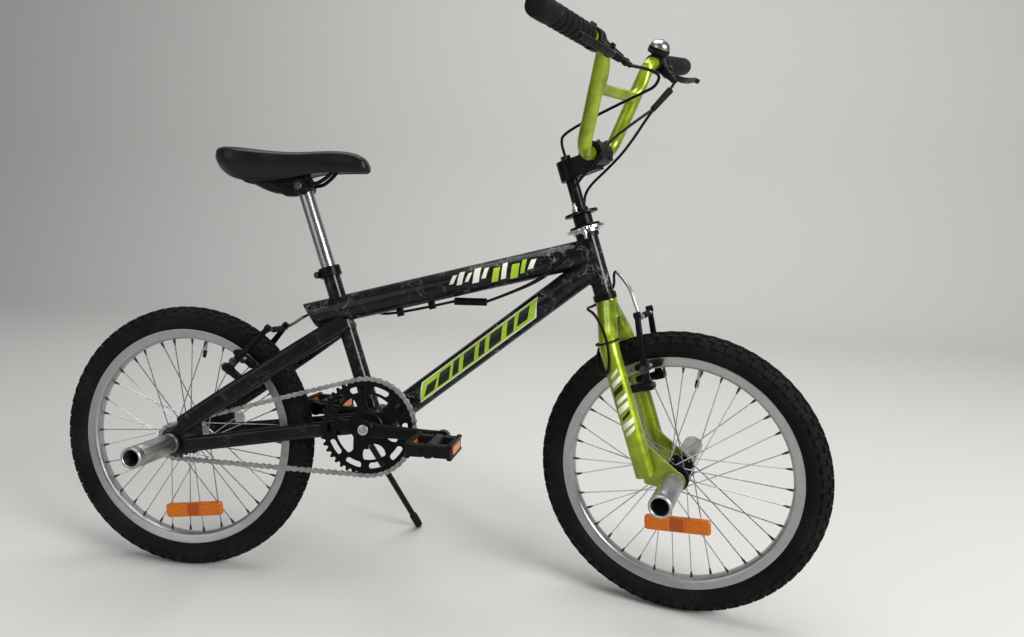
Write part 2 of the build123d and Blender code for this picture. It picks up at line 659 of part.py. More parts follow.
# Cables
splitter_front = Vector(581, 0, 541.5)
splitter_rear = Vector(521, 0, 540.5)
rear_lead = Vector(402, 0, 509)
rear_start = splitter_rear + (rear_lead - splitter_rear).normalized() * FACE_GAP
rear_run = [rear_start, rear_lead, Vector(352, 32, 512), Vector(300, 38, 533)]
rear_run += [Vector(252, 43, 518), rear_noodle_path[-1]]
splitter = rod(splitter_front, splitter_rear, 7)
rear_bends = [40, 30, 40, 40]
rear_cable = cord(rear_run, rear_bends, CABLE_R) - splitter - rear_pull
lower_runs = []
for name, side in SIDES:
    run = [on_head(rotor_t, -3, 33 * side), on_head(rotor_t - 22, -10, 34 * side)]
    run += [Vector(692, 32 * side, 596), Vector(640, 16 * side, 566), Vector(580, 3.4 * side, 542)]
    lower_runs.append(cord(run, [12, 40, 40], CABLE_R) - splitter - rotor)
guides = []
for x in (478.0, 418.0):
    guide = block(Vector(x, 0, 533 - (478 - x) * 0.264), top_dir, (12, 18), -4.5, 4.5)
    guides.append(guide - top_core - cord(rear_run, rear_bends, CABLE_R + FACE_GAP))
bar_pose = turned_right(BAR_TWIST_DEG)
left_exit = (bar_pose * Pos(lever_exit)).position
right_exit = (bar_pose * Pos(lever_exit.X, -lever_exit.Y, lever_exit.Z)).position
front_run = [right_exit, Vector(897, -97, 927), Vector(888, -76, 908), Vector(772, -23, 872)]
front_run += [on_head(634, 8, -2), on_head(622), on_head(268), on_head(256, -28, -42)]
front_run += [on_head(208, -28, -66), on_head(212, -4, -84), on_head(262, 8, -84), on_head(312, -8, -54)]
front_run += [on_head(326, -34, -24), on_head(324, -30, 26), on_head(344, 14, 28), on_head(378, 27, 4)]
front_run += [on_head(366, 42, -12), front_noodle_path[-1]]
front_bends = [12, 14, 120, 12, 6, 14, 16, 14, 14, 40, 40, 20, 22, 22, 12, 14]
front_cable = cord(front_run, front_bends, CABLE_R)
front_cable = front_cable - front_pull - mirrored(lever).moved(bar_pose)
ear = [on_head(upper_t + ROTOR_T, 0, UPPER_ROTOR_EAR * side) for name, side in SIDES]
boot_top = on_head(655, 197, 70)
boot_foot = on_head(630, 161, 52)
left_run = [left_exit, boot_top, boot_foot, on_head(579, 104, 36), on_head(556, 62, 34)]
left_run += [on_head(534, 14, 32), ear[1] + UP_AXIS * 16, ear[1]]
right_run = [boot_foot, on_head(597, 90, -8), on_head(572, 79, -47), on_head(552, 40, -40)]
right_run += [on_head(530, 4, -33), ear[0] + UP_AXIS * 16, ear[0]]
upper_cable = cord(left_run, [8, 30, 60, 60, 30, 14], CABLE_R)
upper_cable = upper_cable + cord(right_run, [30, 20, 30, 14, 14], CABLE_R)
upper_cable = upper_cable + rod(boot_top, boot_foot, 5.5) - lever.moved(bar_pose)
keep("rear_cable", "frame", rear_cable)
keep("lower_rotor_cables", "frame", lower_runs)
keep("cable_fittings", "frame", [splitter, *guides])
keep("front_cable", "steer", front_cable)
keep("upper_rotor_cables", "steer", upper_cable)

# Parked pose: the pitch at which both leaning tyres touch the ground
steer_pose = turned_right(STEER_DEG)


def frame_pose(pitch, lift):
    """The frame's move from upright to parked: pitch about the rear axle, then lean and lift."""
    pitched = Pos(REAR) * Rot(Y=pitch) * Pos(-REAR)
    return Pos(0, 0, lift) * Rot(X=-LEAN_DEG) * pitched


def lowest(pose, centre):
    """The height of a posed tyre's lowest point."""
    here = (pose * Pos(centre)).position
    axle = (pose * Pos(centre + ACROSS)).position - here
    return here.Z - TYRE_RING_R * math.sqrt(1 - axle.Z ** 2) - TYRE_R


low_pitch, high_pitch = -3.0, 3.0
for step in range(60):
    pitch = (low_pitch + high_pitch) / 2
    level = frame_pose(pitch, 0)
    rear_low = lowest(level, REAR)
    front_low = lowest(level * steer_pose, FRONT)
    if front_low > rear_low:
        low_pitch = pitch
    else:
        high_pitch = pitch
parked = frame_pose(pitch, -rear_low)

# Stand: the foot set on the ground, the leg turning about a pin square to both its places
ankle = (parked.inverse() * Pos(FOOT_SPOT[0], FOOT_SPOT[1], FOOT_R)).position
pivot = Vector(*STAND_PIVOT)
stow = Vector(*STAND_STOW).normalized()
stand_axis = (ankle - pivot).cross(stow).normalized()
leg_start = pivot + stand_axis * STAND_HUB / 2
leg_dir = (ankle - leg_start).normalized()
stand_axis = leg_dir.cross(stow).normalized()
hub_start = leg_start - stand_axis * STAND_HUB / 2
hub_end = leg_start + stand_axis * STAND_HUB / 2
pin_end = hub_end + stand_axis * 4
bracket = block(Vector(345, 0, 273), (1, 0, 0), (30, 46), 8, 19)
bracket = bracket + block(Vector(345, 0, 290), (1, 0, 0), (30, 12), 19, 38) - bb_core - chain_stay
bracket = bracket + rod(hub_start - stand_axis * 14, hub_start - stand_axis * FACE_GAP, STAND_HUB_R)
stand_pin = rod(hub_start - stand_axis * FACE_GAP, pin_end, STAND_PIN_R)
stand_pin = stand_pin + rod(hub_end + stand_axis * FACE_GAP, pin_end, 8)
stand_leg = rod(leg_start, ankle, LEG_ROD_R) + rod(hub_start, hub_end, STAND_HUB_R)
stand_leg = stand_leg - rod(hub_start - stand_axis, hub_end + stand_axis, STAND_PIN_R + RUN_GAP)
stand_foot = rod(ankle - leg_dir * 40, ankle, FOOT_R) + Pos(ankle) * Sphere(FOOT_R)
stand_foot = stand_foot - rod(ankle - leg_dir * 60, ankle, LEG_ROD_R)
keep("stand_bracket", "frame", bracket + stand_pin)
keep("stand_leg", "stand", stand_leg)
keep("stand_foot", "stand", stand_foot)

# Parked pieces, the ground below the middle of their box as the origin
body_poses = {
    "steer": parked * steer_pose,
    "front_wheel": parked * steer_pose,
    "bars": parked * steer_pose * bar_pose,
}
posed = {}
for name, (body, solids) in nodes.items():
    pose = body_poses.get(body, parked)
    posed[name] = Compound([solid.moved(pose) for solid in solids])
boxes = [shape.bounding_box() for shape in posed.values()]
middle_x = (min(box.min.X for box in boxes) + max(box.max.X for box in boxes)) / 2
middle_y = (min(box.min.Y for box in boxes) + max(box.max.Y for box in boxes)) / 2
origin = Pos(-middle_x, -middle_y, 0)

os.makedirs("parts", exist_ok=True)
for name, shape in posed.items():
    export_step(shape.moved(origin), f"parts/{name}.step")
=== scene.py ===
"""Looks of a freestyle bicycle leaning on its side stand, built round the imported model.

Shapes are worked out in millimetres on the bicycle standing upright and steering straight, with the
rear axle above the origin, X forward, Y to the left and Z up. A Placement then moves the points into
the parked pose, in metres.
"""

import json
import logging
import math
from dataclasses import dataclass
from enum import Enum
from typing import Optional, Sequence, Union

import bmesh
import bpy
import numpy as np
from mathutils import Matrix, Vector


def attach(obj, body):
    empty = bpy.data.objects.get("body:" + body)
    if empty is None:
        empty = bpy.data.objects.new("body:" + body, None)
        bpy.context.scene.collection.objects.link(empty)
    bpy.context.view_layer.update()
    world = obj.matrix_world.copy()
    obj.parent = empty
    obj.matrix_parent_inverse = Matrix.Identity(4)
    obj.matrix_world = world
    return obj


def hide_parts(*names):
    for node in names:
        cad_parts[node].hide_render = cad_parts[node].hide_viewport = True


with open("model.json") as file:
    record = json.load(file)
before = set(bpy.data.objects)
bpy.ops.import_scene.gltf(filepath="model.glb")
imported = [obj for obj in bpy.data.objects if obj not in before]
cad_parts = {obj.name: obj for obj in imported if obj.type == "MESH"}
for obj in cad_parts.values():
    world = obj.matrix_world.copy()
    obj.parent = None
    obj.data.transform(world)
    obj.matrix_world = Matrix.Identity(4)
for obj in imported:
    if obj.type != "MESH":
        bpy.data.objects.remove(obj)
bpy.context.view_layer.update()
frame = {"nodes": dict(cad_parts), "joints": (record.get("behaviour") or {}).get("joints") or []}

LOG = logging.getLogger("bicycle")
MM = 0.001
Array = np.ndarray
Profile = Sequence[tuple[float, float]]
Socket = bpy.types.NodeSocket


class Body(str, Enum):
    """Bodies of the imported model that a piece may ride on."""

    FRAME = "frame"
    STEER = "steer"
    REAR_WHEEL = "rear_wheel"
    FRONT_WHEEL = "front_wheel"
    CRANK = "crank"
    SPROCKET = "sprocket"
    PEDAL_RIGHT = "pedal_right"
    PEDAL_LEFT = "pedal_left"
    STAND = "stand"


class Slot(str, Enum):
    """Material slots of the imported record."""

    FRAME_PAINT = "frame_paint"
    LIME_PAINT = "lime_paint"
    BLACK_METAL = "black_metal"
    CHROME = "chrome"
    STEEL = "steel"
    RIM_SILVER = "rim_silver"
    PEG_METAL = "peg_metal"
    TYRE = "tyre"
    GRIP_RUBBER = "grip_rubber"
    SADDLE_VINYL = "saddle_vinyl"
    BLACK_PLASTIC = "black_plastic"
    AMBER = "amber"
    CABLE = "cable"
    BELL_SILVER = "bell_silver"


# Vectors and placements


def vec(x: float, y: float, z: float) -> Array:
    """A point or direction as an array."""
    return np.array((x, y, z), float)


FORWARD = vec(1, 0, 0)
ACROSS = vec(0, 1, 0)
UPWARD = vec(0, 0, 1)


def unit(vectors: Array) -> Array:
    """Vectors scaled to length one along their last axis."""
    return vectors / np.linalg.norm(vectors, axis=-1, keepdims=True)


def turn_about(axis: Array, degrees: float) -> Array:
    """The turn by an angle about a direction, as a 3 by 3 matrix.

    Args:
        axis: Direction of the turn.
        degrees: Angle, counter-clockwise seen against the direction.

    Returns:
        cos a I + sin a [n]x + (1 - cos a) n n^T for the unit direction n.
    """
    n = unit(np.asarray(axis, float))
    angle = math.radians(degrees)
    cross = np.array(((0, -n[2], n[1]), (n[2], 0, -n[0]), (-n[1], n[0], 0)))
    return math.cos(angle) * np.eye(3) + math.sin(angle) * cross + (1 - math.cos(angle)) * np.outer(n, n)


def square_to(direction: Array, hint: Array) -> tuple[Array, Array]:
    """Two unit vectors square to a direction, the first as near as can be to a hint.

    Args:
        direction: Directions, in rows.
        hint: One vector that isn't parallel to them.

    Returns:
        The hint less its part along the direction, and the cross product of direction and that.
    """
    along = unit(np.asarray(direction, float))
    first = unit(hint - (along @ hint)[..., None] * along)
    return first, np.cross(along, first)


@dataclass(frozen=True)
class Placement:
    """A turn and a shift from the upright drawing in millimetres to the parked place in metres."""

    turn: Array
    shift: Array

    def put(self, points: Array) -> Array:
        """Points of the drawing, in metres at their parked place."""
        return np.asarray(points, float) @ self.turn.T * MM + self.shift

    def back(self, point: Sequence[float]) -> Array:
        """A parked point in metres, as it lies in the drawing."""
        return (np.asarray(point, float) - self.shift) @ self.turn / MM


def joint(name: str) -> dict:
    """A joint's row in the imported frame."""
    return next(row for row in frame["joints"] if row["name"] == name)


@dataclass(frozen=True)
class Layout:
    """Main places and angles of the bicycle."""

    lean_deg: float = 8.26
    steer_deg: float = 15.2
    bar_twist_deg: float = 8.5
    pitch_deg: float = -0.0562
    head_deg: float = 71.7
    fork_offset: float = 41.0
    wheel_r: float = 254.0
    wheelbase: float = 939.4
    bracket_x: float = 376.6
    bracket_z: float = 306.0
    seat_top_x: float = 277.0
    seat_top_z: float = 594.0

    @property
    def rear(self) -> Array:
        """Rear axle."""
        return vec(0, 0, self.wheel_r)

    @property
    def front(self) -> Array:
        """Front axle."""
        return vec(self.wheelbase, 0, self.wheel_r)

    @property
    def bracket(self) -> Array:
        """Middle of the bottom bracket."""
        return vec(self.bracket_x, 0, self.bracket_z)

    @property
    def seat_top(self) -> Array:
        """Top end of the seat tube."""
        return vec(self.seat_top_x, 0, self.seat_top_z)

    @property
    def seat_way(self) -> Array:
        """Direction up the seat tube."""
        return unit(self.seat_top - self.bracket)

    @property
    def up_axis(self) -> Array:
        """Direction up the steering axis."""
        return vec(-math.cos(math.radians(self.head_deg)), 0, math.sin(math.radians(self.head_deg)))

    @property
    def ahead(self) -> Array:
        """Direction ahead, square to the steering axis."""
        return vec(math.sin(math.radians(self.head_deg)), 0, math.cos(math.radians(self.head_deg)))

    def on_head(self, along: float, ahead: float = 0.0, side: float = 0.0) -> Array:
        """A point along the steering axis, ahead of it and to the left of it."""
        foot = self.front - self.ahead * self.fork_offset
        return foot + self.up_axis * along + self.ahead * ahead + vec(0, side, 0)

    def parked(self) -> Placement:
        """The frame's place: pitched about the rear axle, then leant on the stand."""
        turn = turn_about(FORWARD, -self.lean_deg) @ turn_about(ACROSS, self.pitch_deg)
        return Placement(turn, np.array(joint("rear_wheel_spin")["pos_m"]) - turn @ self.rear * MM)

    def steered(self, twist_deg: float = 0.0) -> Placement:
        """The fork's place: turned about the steering axis, then parked with the frame.

        Args:
            twist_deg: How much farther to the right a piece is turned than the fork.

        Returns:
            The move from the drawing.
        """
        turn = turn_about(self.up_axis, -self.steer_deg - twist_deg)
        foot = self.on_head(0)
        base = self.parked()
        return Placement(base.turn @ turn, base.put(foot - turn @ foot))

    def twisted(self, point: Array) -> Array:
        """A point of the bars as it lies in the fork's drawing, turned by the bars' twist."""
        foot = self.on_head(0)
        return foot + turn_about(self.up_axis, -self.bar_twist_deg) @ (point - foot)


LAYOUT = Layout()
ON_FRAME = LAYOUT.parked()
ON_FORK = LAYOUT.steered()
ON_BARS = LAYOUT.steered(LAYOUT.bar_twist_deg)


# Surfaces


@dataclass
class Surface:
    """A mesh in the making.

    Attributes:
        points: Corner points, in rows.
        faces: Four point numbers in each row, the last -1 in a triangle.
        uv: Place on the unrolled surface of each face corner.
    """

    points: Array
    faces: Array
    uv: Array

    @staticmethod
    def joined(parts: Sequence["Surface"]) -> "Surface":
        """Several surfaces as one mesh, their point numbers shifted one after the other."""
        starts = np.cumsum([0] + [len(part.points) for part in parts[:-1]])
        faces = [np.where(part.faces < 0, -1, part.faces + start) for part, start in zip(parts, starts)]
        uv = np.concatenate([part.uv for part in parts])
        return Surface(np.concatenate([part.points for part in parts]), np.concatenate(faces), uv)

    def flipped(self) -> "Surface":
        """The same surface with its faces turned round."""
        order = np.where(self.faces[:, 3:] < 0, (2, 1, 0, 3), (3, 2, 1, 0))
        faces = np.take_along_axis(self.faces, order, 1)
        return Surface(self.points, faces, np.take_along_axis(self.uv, order[:, :, None], 1))

    def outward(self) -> "Surface":
        """A closed surface with its faces pointing out: turned round if its signed volume is negative."""
        corner = self.points - self.points.mean(0)
        a, b, c = (corner[self.faces[:, k]] for k in range(3))
        volume = np.einsum("ij,ij->", a, np.cross(b, c))
        quads = self.faces[:, 3] >= 0
        d = corner[self.faces[quads, 3]]
        volume += np.einsum("ij,ij->", a[quads], np.cross(c[quads], d))
        return self if volume > 0 else self.flipped()

    def mirrored(self) -> "Surface":
        """The twin on the other side of the bicycle, Y turned round."""
        return Surface(self.points * (1, -1, 1), self.faces, self.uv).flipped()

    def with_twin(self) -> "Surface":
        """The surface and its twin on the other side."""
        return Surface.joined([self, self.mirrored()])

    def copies(self, turns: Array, shifts: Array) -> "Surface":
        """Many copies as one mesh.

        Args:
            turns: One 3 by 3 matrix for each copy.
            shifts: One point for each copy.

        Returns:
            All copies, point = turn times point plus shift, as whole arrays.
        """
        points = np.einsum("kij,nj->kni", turns, self.points) + shifts[:, None]
        starts = np.arange(len(shifts))[:, None, None] * len(self.points)
        faces = np.where(self.faces < 0, -1, self.faces + starts)
        uv = np.broadcast_to(self.uv, (len(shifts), *self.uv.shape))
        return Surface(points.reshape(-1, 3), faces.reshape(-1, 4), uv.reshape(-1, 4, 2))


def loft(rings: Array, closed: bool = False, caps: bool = True) -> Surface:
    """A skin over rings of points.

    Args:
        rings: Points on a grid, rings by points round each ring.
        closed: Whether the last ring joins the first.
        caps: Whether the two ends are closed, by a fan to the middle of the ring.

    Returns:
        One quad between neighbours along and round, with faces outward.
    """
    count, around = rings.shape[:2]
    rows = np.arange(count if closed else count - 1)[:, None]
    cols = np.arange(around)[None]
    after, beside = (rows + 1) % count, (cols + 1) % around
    quads = np.stack(np.broadcast_arrays(
        rows * around + cols, after * around + cols, after * around + beside, rows * around + beside), -1)
    low, high, left, right = np.broadcast_arrays(
        rows / count, (rows + 1) / count, cols / around, (cols + 1) / around)
    uv = np.stack([np.stack(pair, -1) for pair in
                   ((low, left), (high, left), (high, right), (low, right))], -2)
    points, faces, places = rings.reshape(-1, 3), quads.reshape(-1, 4), uv.reshape(-1, 4, 2)
    if caps and not closed:
        ring = np.arange(around)
        ahead = (ring + 1) % around
        last = (count - 1) * around
        middle = len(points)
        points = np.concatenate([points, rings[[0, -1]].mean(1)])
        blank = np.full(around, -1)
        start = np.stack([ring, ahead, np.full(around, middle), blank], -1)
        end = np.stack([last + ahead, last + ring, np.full(around, middle + 1), blank], -1)
        faces = np.concatenate([faces, start, end])
        places = np.concatenate([places, np.full((2 * around, 4, 2), 0.5)])
    return Surface(points, faces, places).outward()


def revolve(profile: Profile, centre: Array, axis: Array,
            segments: int = 48, closed: bool = False, hint: Array = UPWARD) -> Surface:
    """A profile turned about an axis.

    Args:
        profile: Rows of radius and distance along the axis.
        centre: A point of the axis, where the distance is zero.
        axis: Direction of the axis.
        segments: Points round the axis.
        closed: Whether the profile is a loop, as a ring's is.
        hint: A direction square to the axis, or near it, where the turn starts.

    Returns:
        centre + distance times axis + radius times (cos t first + sin t second).
    """
    table = np.array(profile, float)
    along = unit(np.asarray(axis, float))
    first, second = square_to(along, hint if abs(along @ hint) < 0.9 else FORWARD)
    turn = np.linspace(0, 2 * math.pi, segments, endpoint=False)
    spokes = np.cos(turn)[:, None] * first + np.sin(turn)[:, None] * second
    rings = centre + table[:, 1, None, None] * along + table[:, 0, None, None] * spokes
    return loft(rings, closed=closed)


def both_sides(half: Profile) -> list[tuple[float, float]]:
    """A profile of radius and distance, followed by its mirror image at the distances below zero."""
    return [*half, *((radius, -along) for radius, along in reversed(half))]


def collar(inner: float, outer: float, low: float, high: float, ease: float) -> list[tuple[float, float]]:
    """The profile of a ring whose outer rims are eased, over one millimetre along the axis."""
    return [(inner, low), (outer - ease, low), (outer, low + 1), (outer, high - 1), (outer - ease, high),
            (inner, high)]


def flow(points: Sequence[Array], count: int = 24) -> Array:
    """A smooth line through points.

    Args:
        points: Points that the line passes through.
        count: Points of the line.

    Returns:
        Cubic Hermite spans over the chord length, with slopes from the neighbours on each side.
    """
    table = np.array(points, float)
    table = table.reshape(len(table), -1)
    knots = np.concatenate([[0], np.cumsum(np.linalg.norm(np.diff(table, axis=0), axis=1))])
    return hermite(knots, table, np.linspace(0, knots[-1], count))


def hermite(knots: Array, table: Array, where: Array) -> Array:
    """Values between the rows of a table.

    Args:
        knots: Rising positions of the rows.
        table: Values, in rows.
        where: Positions asked for.

    Returns:
        Cubic Hermite spans with each row's slope taken from its neighbours.
    """
    knots, table = np.asarray(knots, float), np.asarray(table, float).reshape(len(knots), -1)
    slopes = np.gradient(table, knots, axis=0)
    span = np.clip(np.searchsorted(knots, where, side="right") - 1, 0, len(knots) - 2)
    width = (knots[span + 1] - knots[span])[:, None]
    t = ((where - knots[span])[:, None]) / width
    return ((2 * t**3 - 3 * t**2 + 1) * table[span] + (t**3 - 2 * t**2 + t) * width * slopes[span]
            + (3 * t**2 - 2 * t**3) * table[span + 1] + (t**3 - t**2) * width * slopes[span + 1])


def sweep(path: Array, sizes: Union[float, Array], hint: Array = UPWARD, segments: int = 12,
          power: float = 2.0, closed: bool = False) -> Surface:
    """A rounded section carried along a path.

    Args:
        path: Points of the path.
        sizes: A radius, or rows of the two half sizes along the hint and square to it.
        hint: Direction that the section's first half size keeps to.
        segments: Points round the section.
        power: 2 for an ellipse, more for a squarer section.
        closed: Whether the path is a loop.

    Returns:
        path + a c first + b s second, with c = sign cos |cos|^(2/power) and s likewise from sin.
    """
    path = np.asarray(path, float)
    if closed:
        along = unit(np.roll(path, -1, 0) - np.roll(path, 1, 0))
    else:
        along = unit(np.gradient(path, axis=0))
    first, second = square_to(along, hint)
    half = np.broadcast_to(np.asarray(sizes, float).reshape(-1, 1) if np.ndim(sizes) < 2 else sizes,
                           (len(path), 2))
    turn = np.linspace(0, 2 * math.pi, segments, endpoint=False)
    across = np.sign(np.cos(turn)) * np.abs(np.cos(turn)) ** (2 / power)
    upright = np.sign(np.sin(turn)) * np.abs(np.sin(turn)) ** (2 / power)
    rings = (path[:, None] + half[:, :1, None] * across[:, None] * first[:, None]
             + half[:, 1:, None] * upright[:, None] * second[:, None])
    return loft(rings, closed=closed)


def slab(outline: Array, origin: Array, x_dir: Array, y_dir: Array, thick: float,
         edge: float = 0.6) -> Surface:
    """A plate from a flat outline, its rims eased.

    Args:
        outline: Points of the outline on the plate's own axes, in rows, round a middle that sees them all.
        origin: Where the outline's zero lies.
        x_dir: Direction of its first axis.
        y_dir: Direction of its second axis.
        thick: Thickness, along the cross product of the axes, half to each side of the origin.
        edge: Width of the eased rims.

    Returns:
        Four rings: the outline drawn in by the edge, full size twice, and drawn in again.
    """
    outline = np.asarray(outline, float)
    along = unit(np.roll(outline, -1, 0) - np.roll(outline, 1, 0))
    inward = np.stack([-along[:, 1], along[:, 0]], -1)
    middle = outline.mean(0)
    inward *= np.sign(np.einsum("ij,ij->", inward, middle - outline))
    normal = np.cross(x_dir, y_dir)
    layers = ((edge, -thick / 2), (0, -thick / 2 + edge), (0, thick / 2 - edge), (edge, thick / 2))
    rings = []
    for inset, height in layers:
        drawn_in = outline + inward * inset
        rings.append(origin + drawn_in[:, :1] * x_dir + drawn_in[:, 1:] * y_dir + normal * height)
    return loft(np.array(rings))


def rounded(width: float, height: float, radius: float, steps: int = 5) -> Array:
    """The outline of a rectangle with rounded corners, about its middle."""
    turn = np.linspace(0, math.pi / 2, steps)
    arc = radius * np.stack([np.cos(turn), np.sin(turn)], -1)
    x, y = width / 2 - radius, height / 2 - radius
    corners = [(arc + (x, y)), (arc[:, ::-1] * (-1, 1) + (-x, y)), (arc * (-1, -1) + (-x, -y)),
               (arc[:, ::-1] * (1, -1) + (x, -y))]
    return np.concatenate(corners)


def block(centre: Array, size: Sequence[float], x_dir: Array = FORWARD, y_dir: Array = ACROSS,
          round_r: float = 2.0, edge: float = 0.8) -> Surface:
    """A box with rounded corners and eased rims, sized along two directions and square to them."""
    outline = rounded(size[0], size[1], min(round_r, min(size[:2]) / 2 - 0.05))
    return slab(outline, centre, x_dir, y_dir, size[2], min(edge, size[2] / 2.5))


def bolt(spot: Array, axis: Array, radius: float, height: float, recess: bool = True) -> Surface:
    """A bolt head, six-sided or round with a six-sided core in a recess.

    Args:
        spot: Middle of the face that it sits on.
        axis: Direction that it stands out in.
        radius: Radius of the head.
        height: Height of the head.
        recess: Whether it is round with a recess, and not six-sided.

    Returns:
        A profile turned in 6 steps, or in 24 with the core turned in 6.
    """
    if not recess:
        return revolve([(radius, 0), (radius, height * 0.8), (radius * 0.86, height)], spot, axis, 6)
    head = [(radius, 0), (radius, height * 0.75), (radius * 0.88, height), (radius * 0.55, height)]
    core = [(radius * 0.55, height), (radius * 0.55, height * 0.35)]
    return Surface.joined([revolve(head + [(radius * 0.55, height * 0.3)], spot, axis, 24),
                           revolve([(r * 0.9, h + 0.02) for r, h in core], spot, axis, 6)])


# Finishes


class Shader:
    """The node tree of one material, with short calls to add nodes."""

    def __init__(self, name: str) -> None:
        """Start a material whose patterns lie on the piece's own coordinates."""
        self.material = bpy.data.materials.new(name)
        self.material.use_nodes = True
        self.nodes = self.material.node_tree.nodes
        self.links = self.material.node_tree.links
        self.surface = self.nodes["Principled BSDF"]
        self.place = self.add("ShaderNodeTexCoord").outputs["Object"]

    def add(self, kind: str, inputs: Optional[dict] = None, **settings: object) -> bpy.types.Node:
        """Add a node.

        Args:
            kind: Blender's name of the node type.
            inputs: Values or linked sockets by input name or number.
            settings: Properties of the node.

        Returns:
            The node.
        """
        node = self.nodes.new(kind)
        for key, value in settings.items():
            setattr(node, key, value)
        for key, value in (inputs or {}).items():
            self.set(node.inputs[key], value)
        return node

    def set(self, socket: Socket, value: object) -> None:
        """Link a socket to another one, or give it a value."""
        if isinstance(value, Socket):
            self.links.new(value, socket)
        else:
            socket.default_value = value

    def noise(self, scale: float, detail: float = 4.0, place: Optional[Socket] = None,
              distortion: float = 0.0) -> Socket:
        """Cloudy values from 0 to 1 on the piece's coordinates."""
        inputs = {"Vector": place or self.place, "Scale": scale, "Detail": detail, "Distortion": distortion}
        return self.add("ShaderNodeTexNoise", inputs).outputs["Fac"]

    def cells(self, scale: float, feature: str = "F1", place: Optional[Socket] = None) -> Socket:
        """Distances to scattered points or to the borders between their cells."""
        inputs = {"Vector": place or self.place, "Scale": scale}
        return self.add("ShaderNodeTexVoronoi", inputs, feature=feature).outputs["Distance"]

    def stretched(self, scale: Sequence[float]) -> Socket:
        """The piece's coordinates, scaled along each axis."""
        return self.add("ShaderNodeMapping", {"Vector": self.place, "Scale": scale}).outputs["Vector"]

    def warped(self, scale: float, amount: float) -> Socket:
        """The piece's coordinates, pushed about by a noise so that lines wander."""
        push = self.add("ShaderNodeTexNoise", {"Vector": self.place, "Scale": scale, "Detail": 3.0})
        inputs = {0: push.outputs["Color"], "Scale": amount}
        moved = self.add("ShaderNodeVectorMath", inputs, operation="SCALE").outputs["Vector"]
        inputs = {0: self.place, 1: moved}
        return self.add("ShaderNodeVectorMath", inputs, operation="ADD").outputs["Vector"]

    def ramp(self, value: Socket, low: float, high: float, start: float = 0.0, end: float = 1.0) -> Socket:
        """A value mapped from one range to another and held at its ends."""
        inputs = {"Value": value, "From Min": low, "From Max": high, "To Min": start, "To Max": end}
        return self.add("ShaderNodeMapRange", inputs).outputs["Result"]

    def math(self, operation: str, first: object, second: object) -> Socket:
        """One arithmetic step on two values."""
        return self.add("ShaderNodeMath", {0: first, 1: second}, operation=operation).outputs["Value"]

    def mix(self, share: object, first: object, second: object) -> Socket:
        """A blend of two colours."""
        inputs = {"Factor": share, 6: first, 7: second}
        return self.add("ShaderNodeMix", inputs, data_type="RGBA").outputs[2]

    def bump(self, height: Socket, strength: float, depth_mm: float) -> None:
        """Raise the surface's normal by a height, over what is there already."""
        inputs = {"Height": height, "Strength": strength, "Distance": depth_mm * MM}
        if self.surface.inputs["Normal"].is_linked:
            inputs["Normal"] = self.surface.inputs["Normal"].links[0].from_socket
        self.set(self.surface.inputs["Normal"], self.add("ShaderNodeBump", inputs).outputs["Normal"])

    def finish(self, **values: object) -> bpy.types.Material:
        """Set the surface's sockets, by their names with underscores, and return the material."""
        for key, value in values.items():
            self.set(self.surface.inputs[key.replace("_", " ")], value)
        return self.material


Colour = tuple[float, float, float]


def rgba(colour: Colour, factor: float = 1.0) -> tuple[float, float, float, float]:
    """A colour with full alpha, made lighter or darker by a factor."""
    return (colour[0] * factor, colour[1] * factor, colour[2] * factor, 1.0)


@dataclass(frozen=True)
class Finish:
    """A finish: its name, its slot in the record and its base colour."""

    name: str
    slot: Slot
    colour: Colour

    def material(self) -> bpy.types.Material:
        """The finish's material, made once."""
        return bpy.data.materials.get(self.name) or self.make(Shader(self.name))

    def make(self, shader: Shader) -> bpy.types.Material:
        """Build the node tree."""
        raise NotImplementedError


@dataclass(frozen=True)
class GlossPaint(Finish):
    """Gloss paint under lacquer, with an optional crackle of pale lines."""

    crackle: float = 0.0
    roughness: float = 0.28

    def make(self, shader: Shader) -> bpy.types.Material:
        """Base colour with dusty clouds; crackle where warped cell borders meet a patchy mask."""
        dust = shader.ramp(shader.noise(9.0, 6.0), 0.35, 0.75)
        colour = shader.mix(dust, rgba(self.colour), rgba(self.colour, 1.7))
        if self.crackle:
            warped = shader.warped(26.0, 0.034)
            wide = shader.ramp(shader.cells(40.0, "DISTANCE_TO_EDGE", warped), 0.0, 0.030, 1.0, 0.0)
            fine = shader.ramp(shader.cells(100.0, "DISTANCE_TO_EDGE", warped), 0.0, 0.040, 0.7, 0.0)
            patch = shader.ramp(shader.noise(19.0, 3.0), 0.46, 0.60)
            broken = shader.ramp(shader.noise(60.0, 2.0), 0.40, 0.60)
            split = shader.add("ShaderNodeSeparateXYZ", {"Vector": shader.place})
            front = shader.ramp(split.outputs["X"], -0.12, 0.16, 0.45, 1.0)
            lines = shader.math("MULTIPLY", shader.math("MAXIMUM", wide, fine), patch)
            lines = shader.math("MULTIPLY", shader.math("MULTIPLY", lines, broken), front)
            lines = shader.math("MULTIPLY", lines, self.crackle)
            colour = shader.mix(lines, colour, (0.42, 0.44, 0.42, 1.0))
        rough = shader.ramp(shader.noise(40.0, 5.0), 0.3, 0.7, self.roughness - 0.08, self.roughness + 0.1)
        shader.bump(shader.noise(260.0, 2.0), 0.05, 0.2)
        return shader.finish(Base_Color=colour, Roughness=rough, Coat_Weight=0.25, Coat_Roughness=0.06,
                             Specular_IOR_Level=0.08)


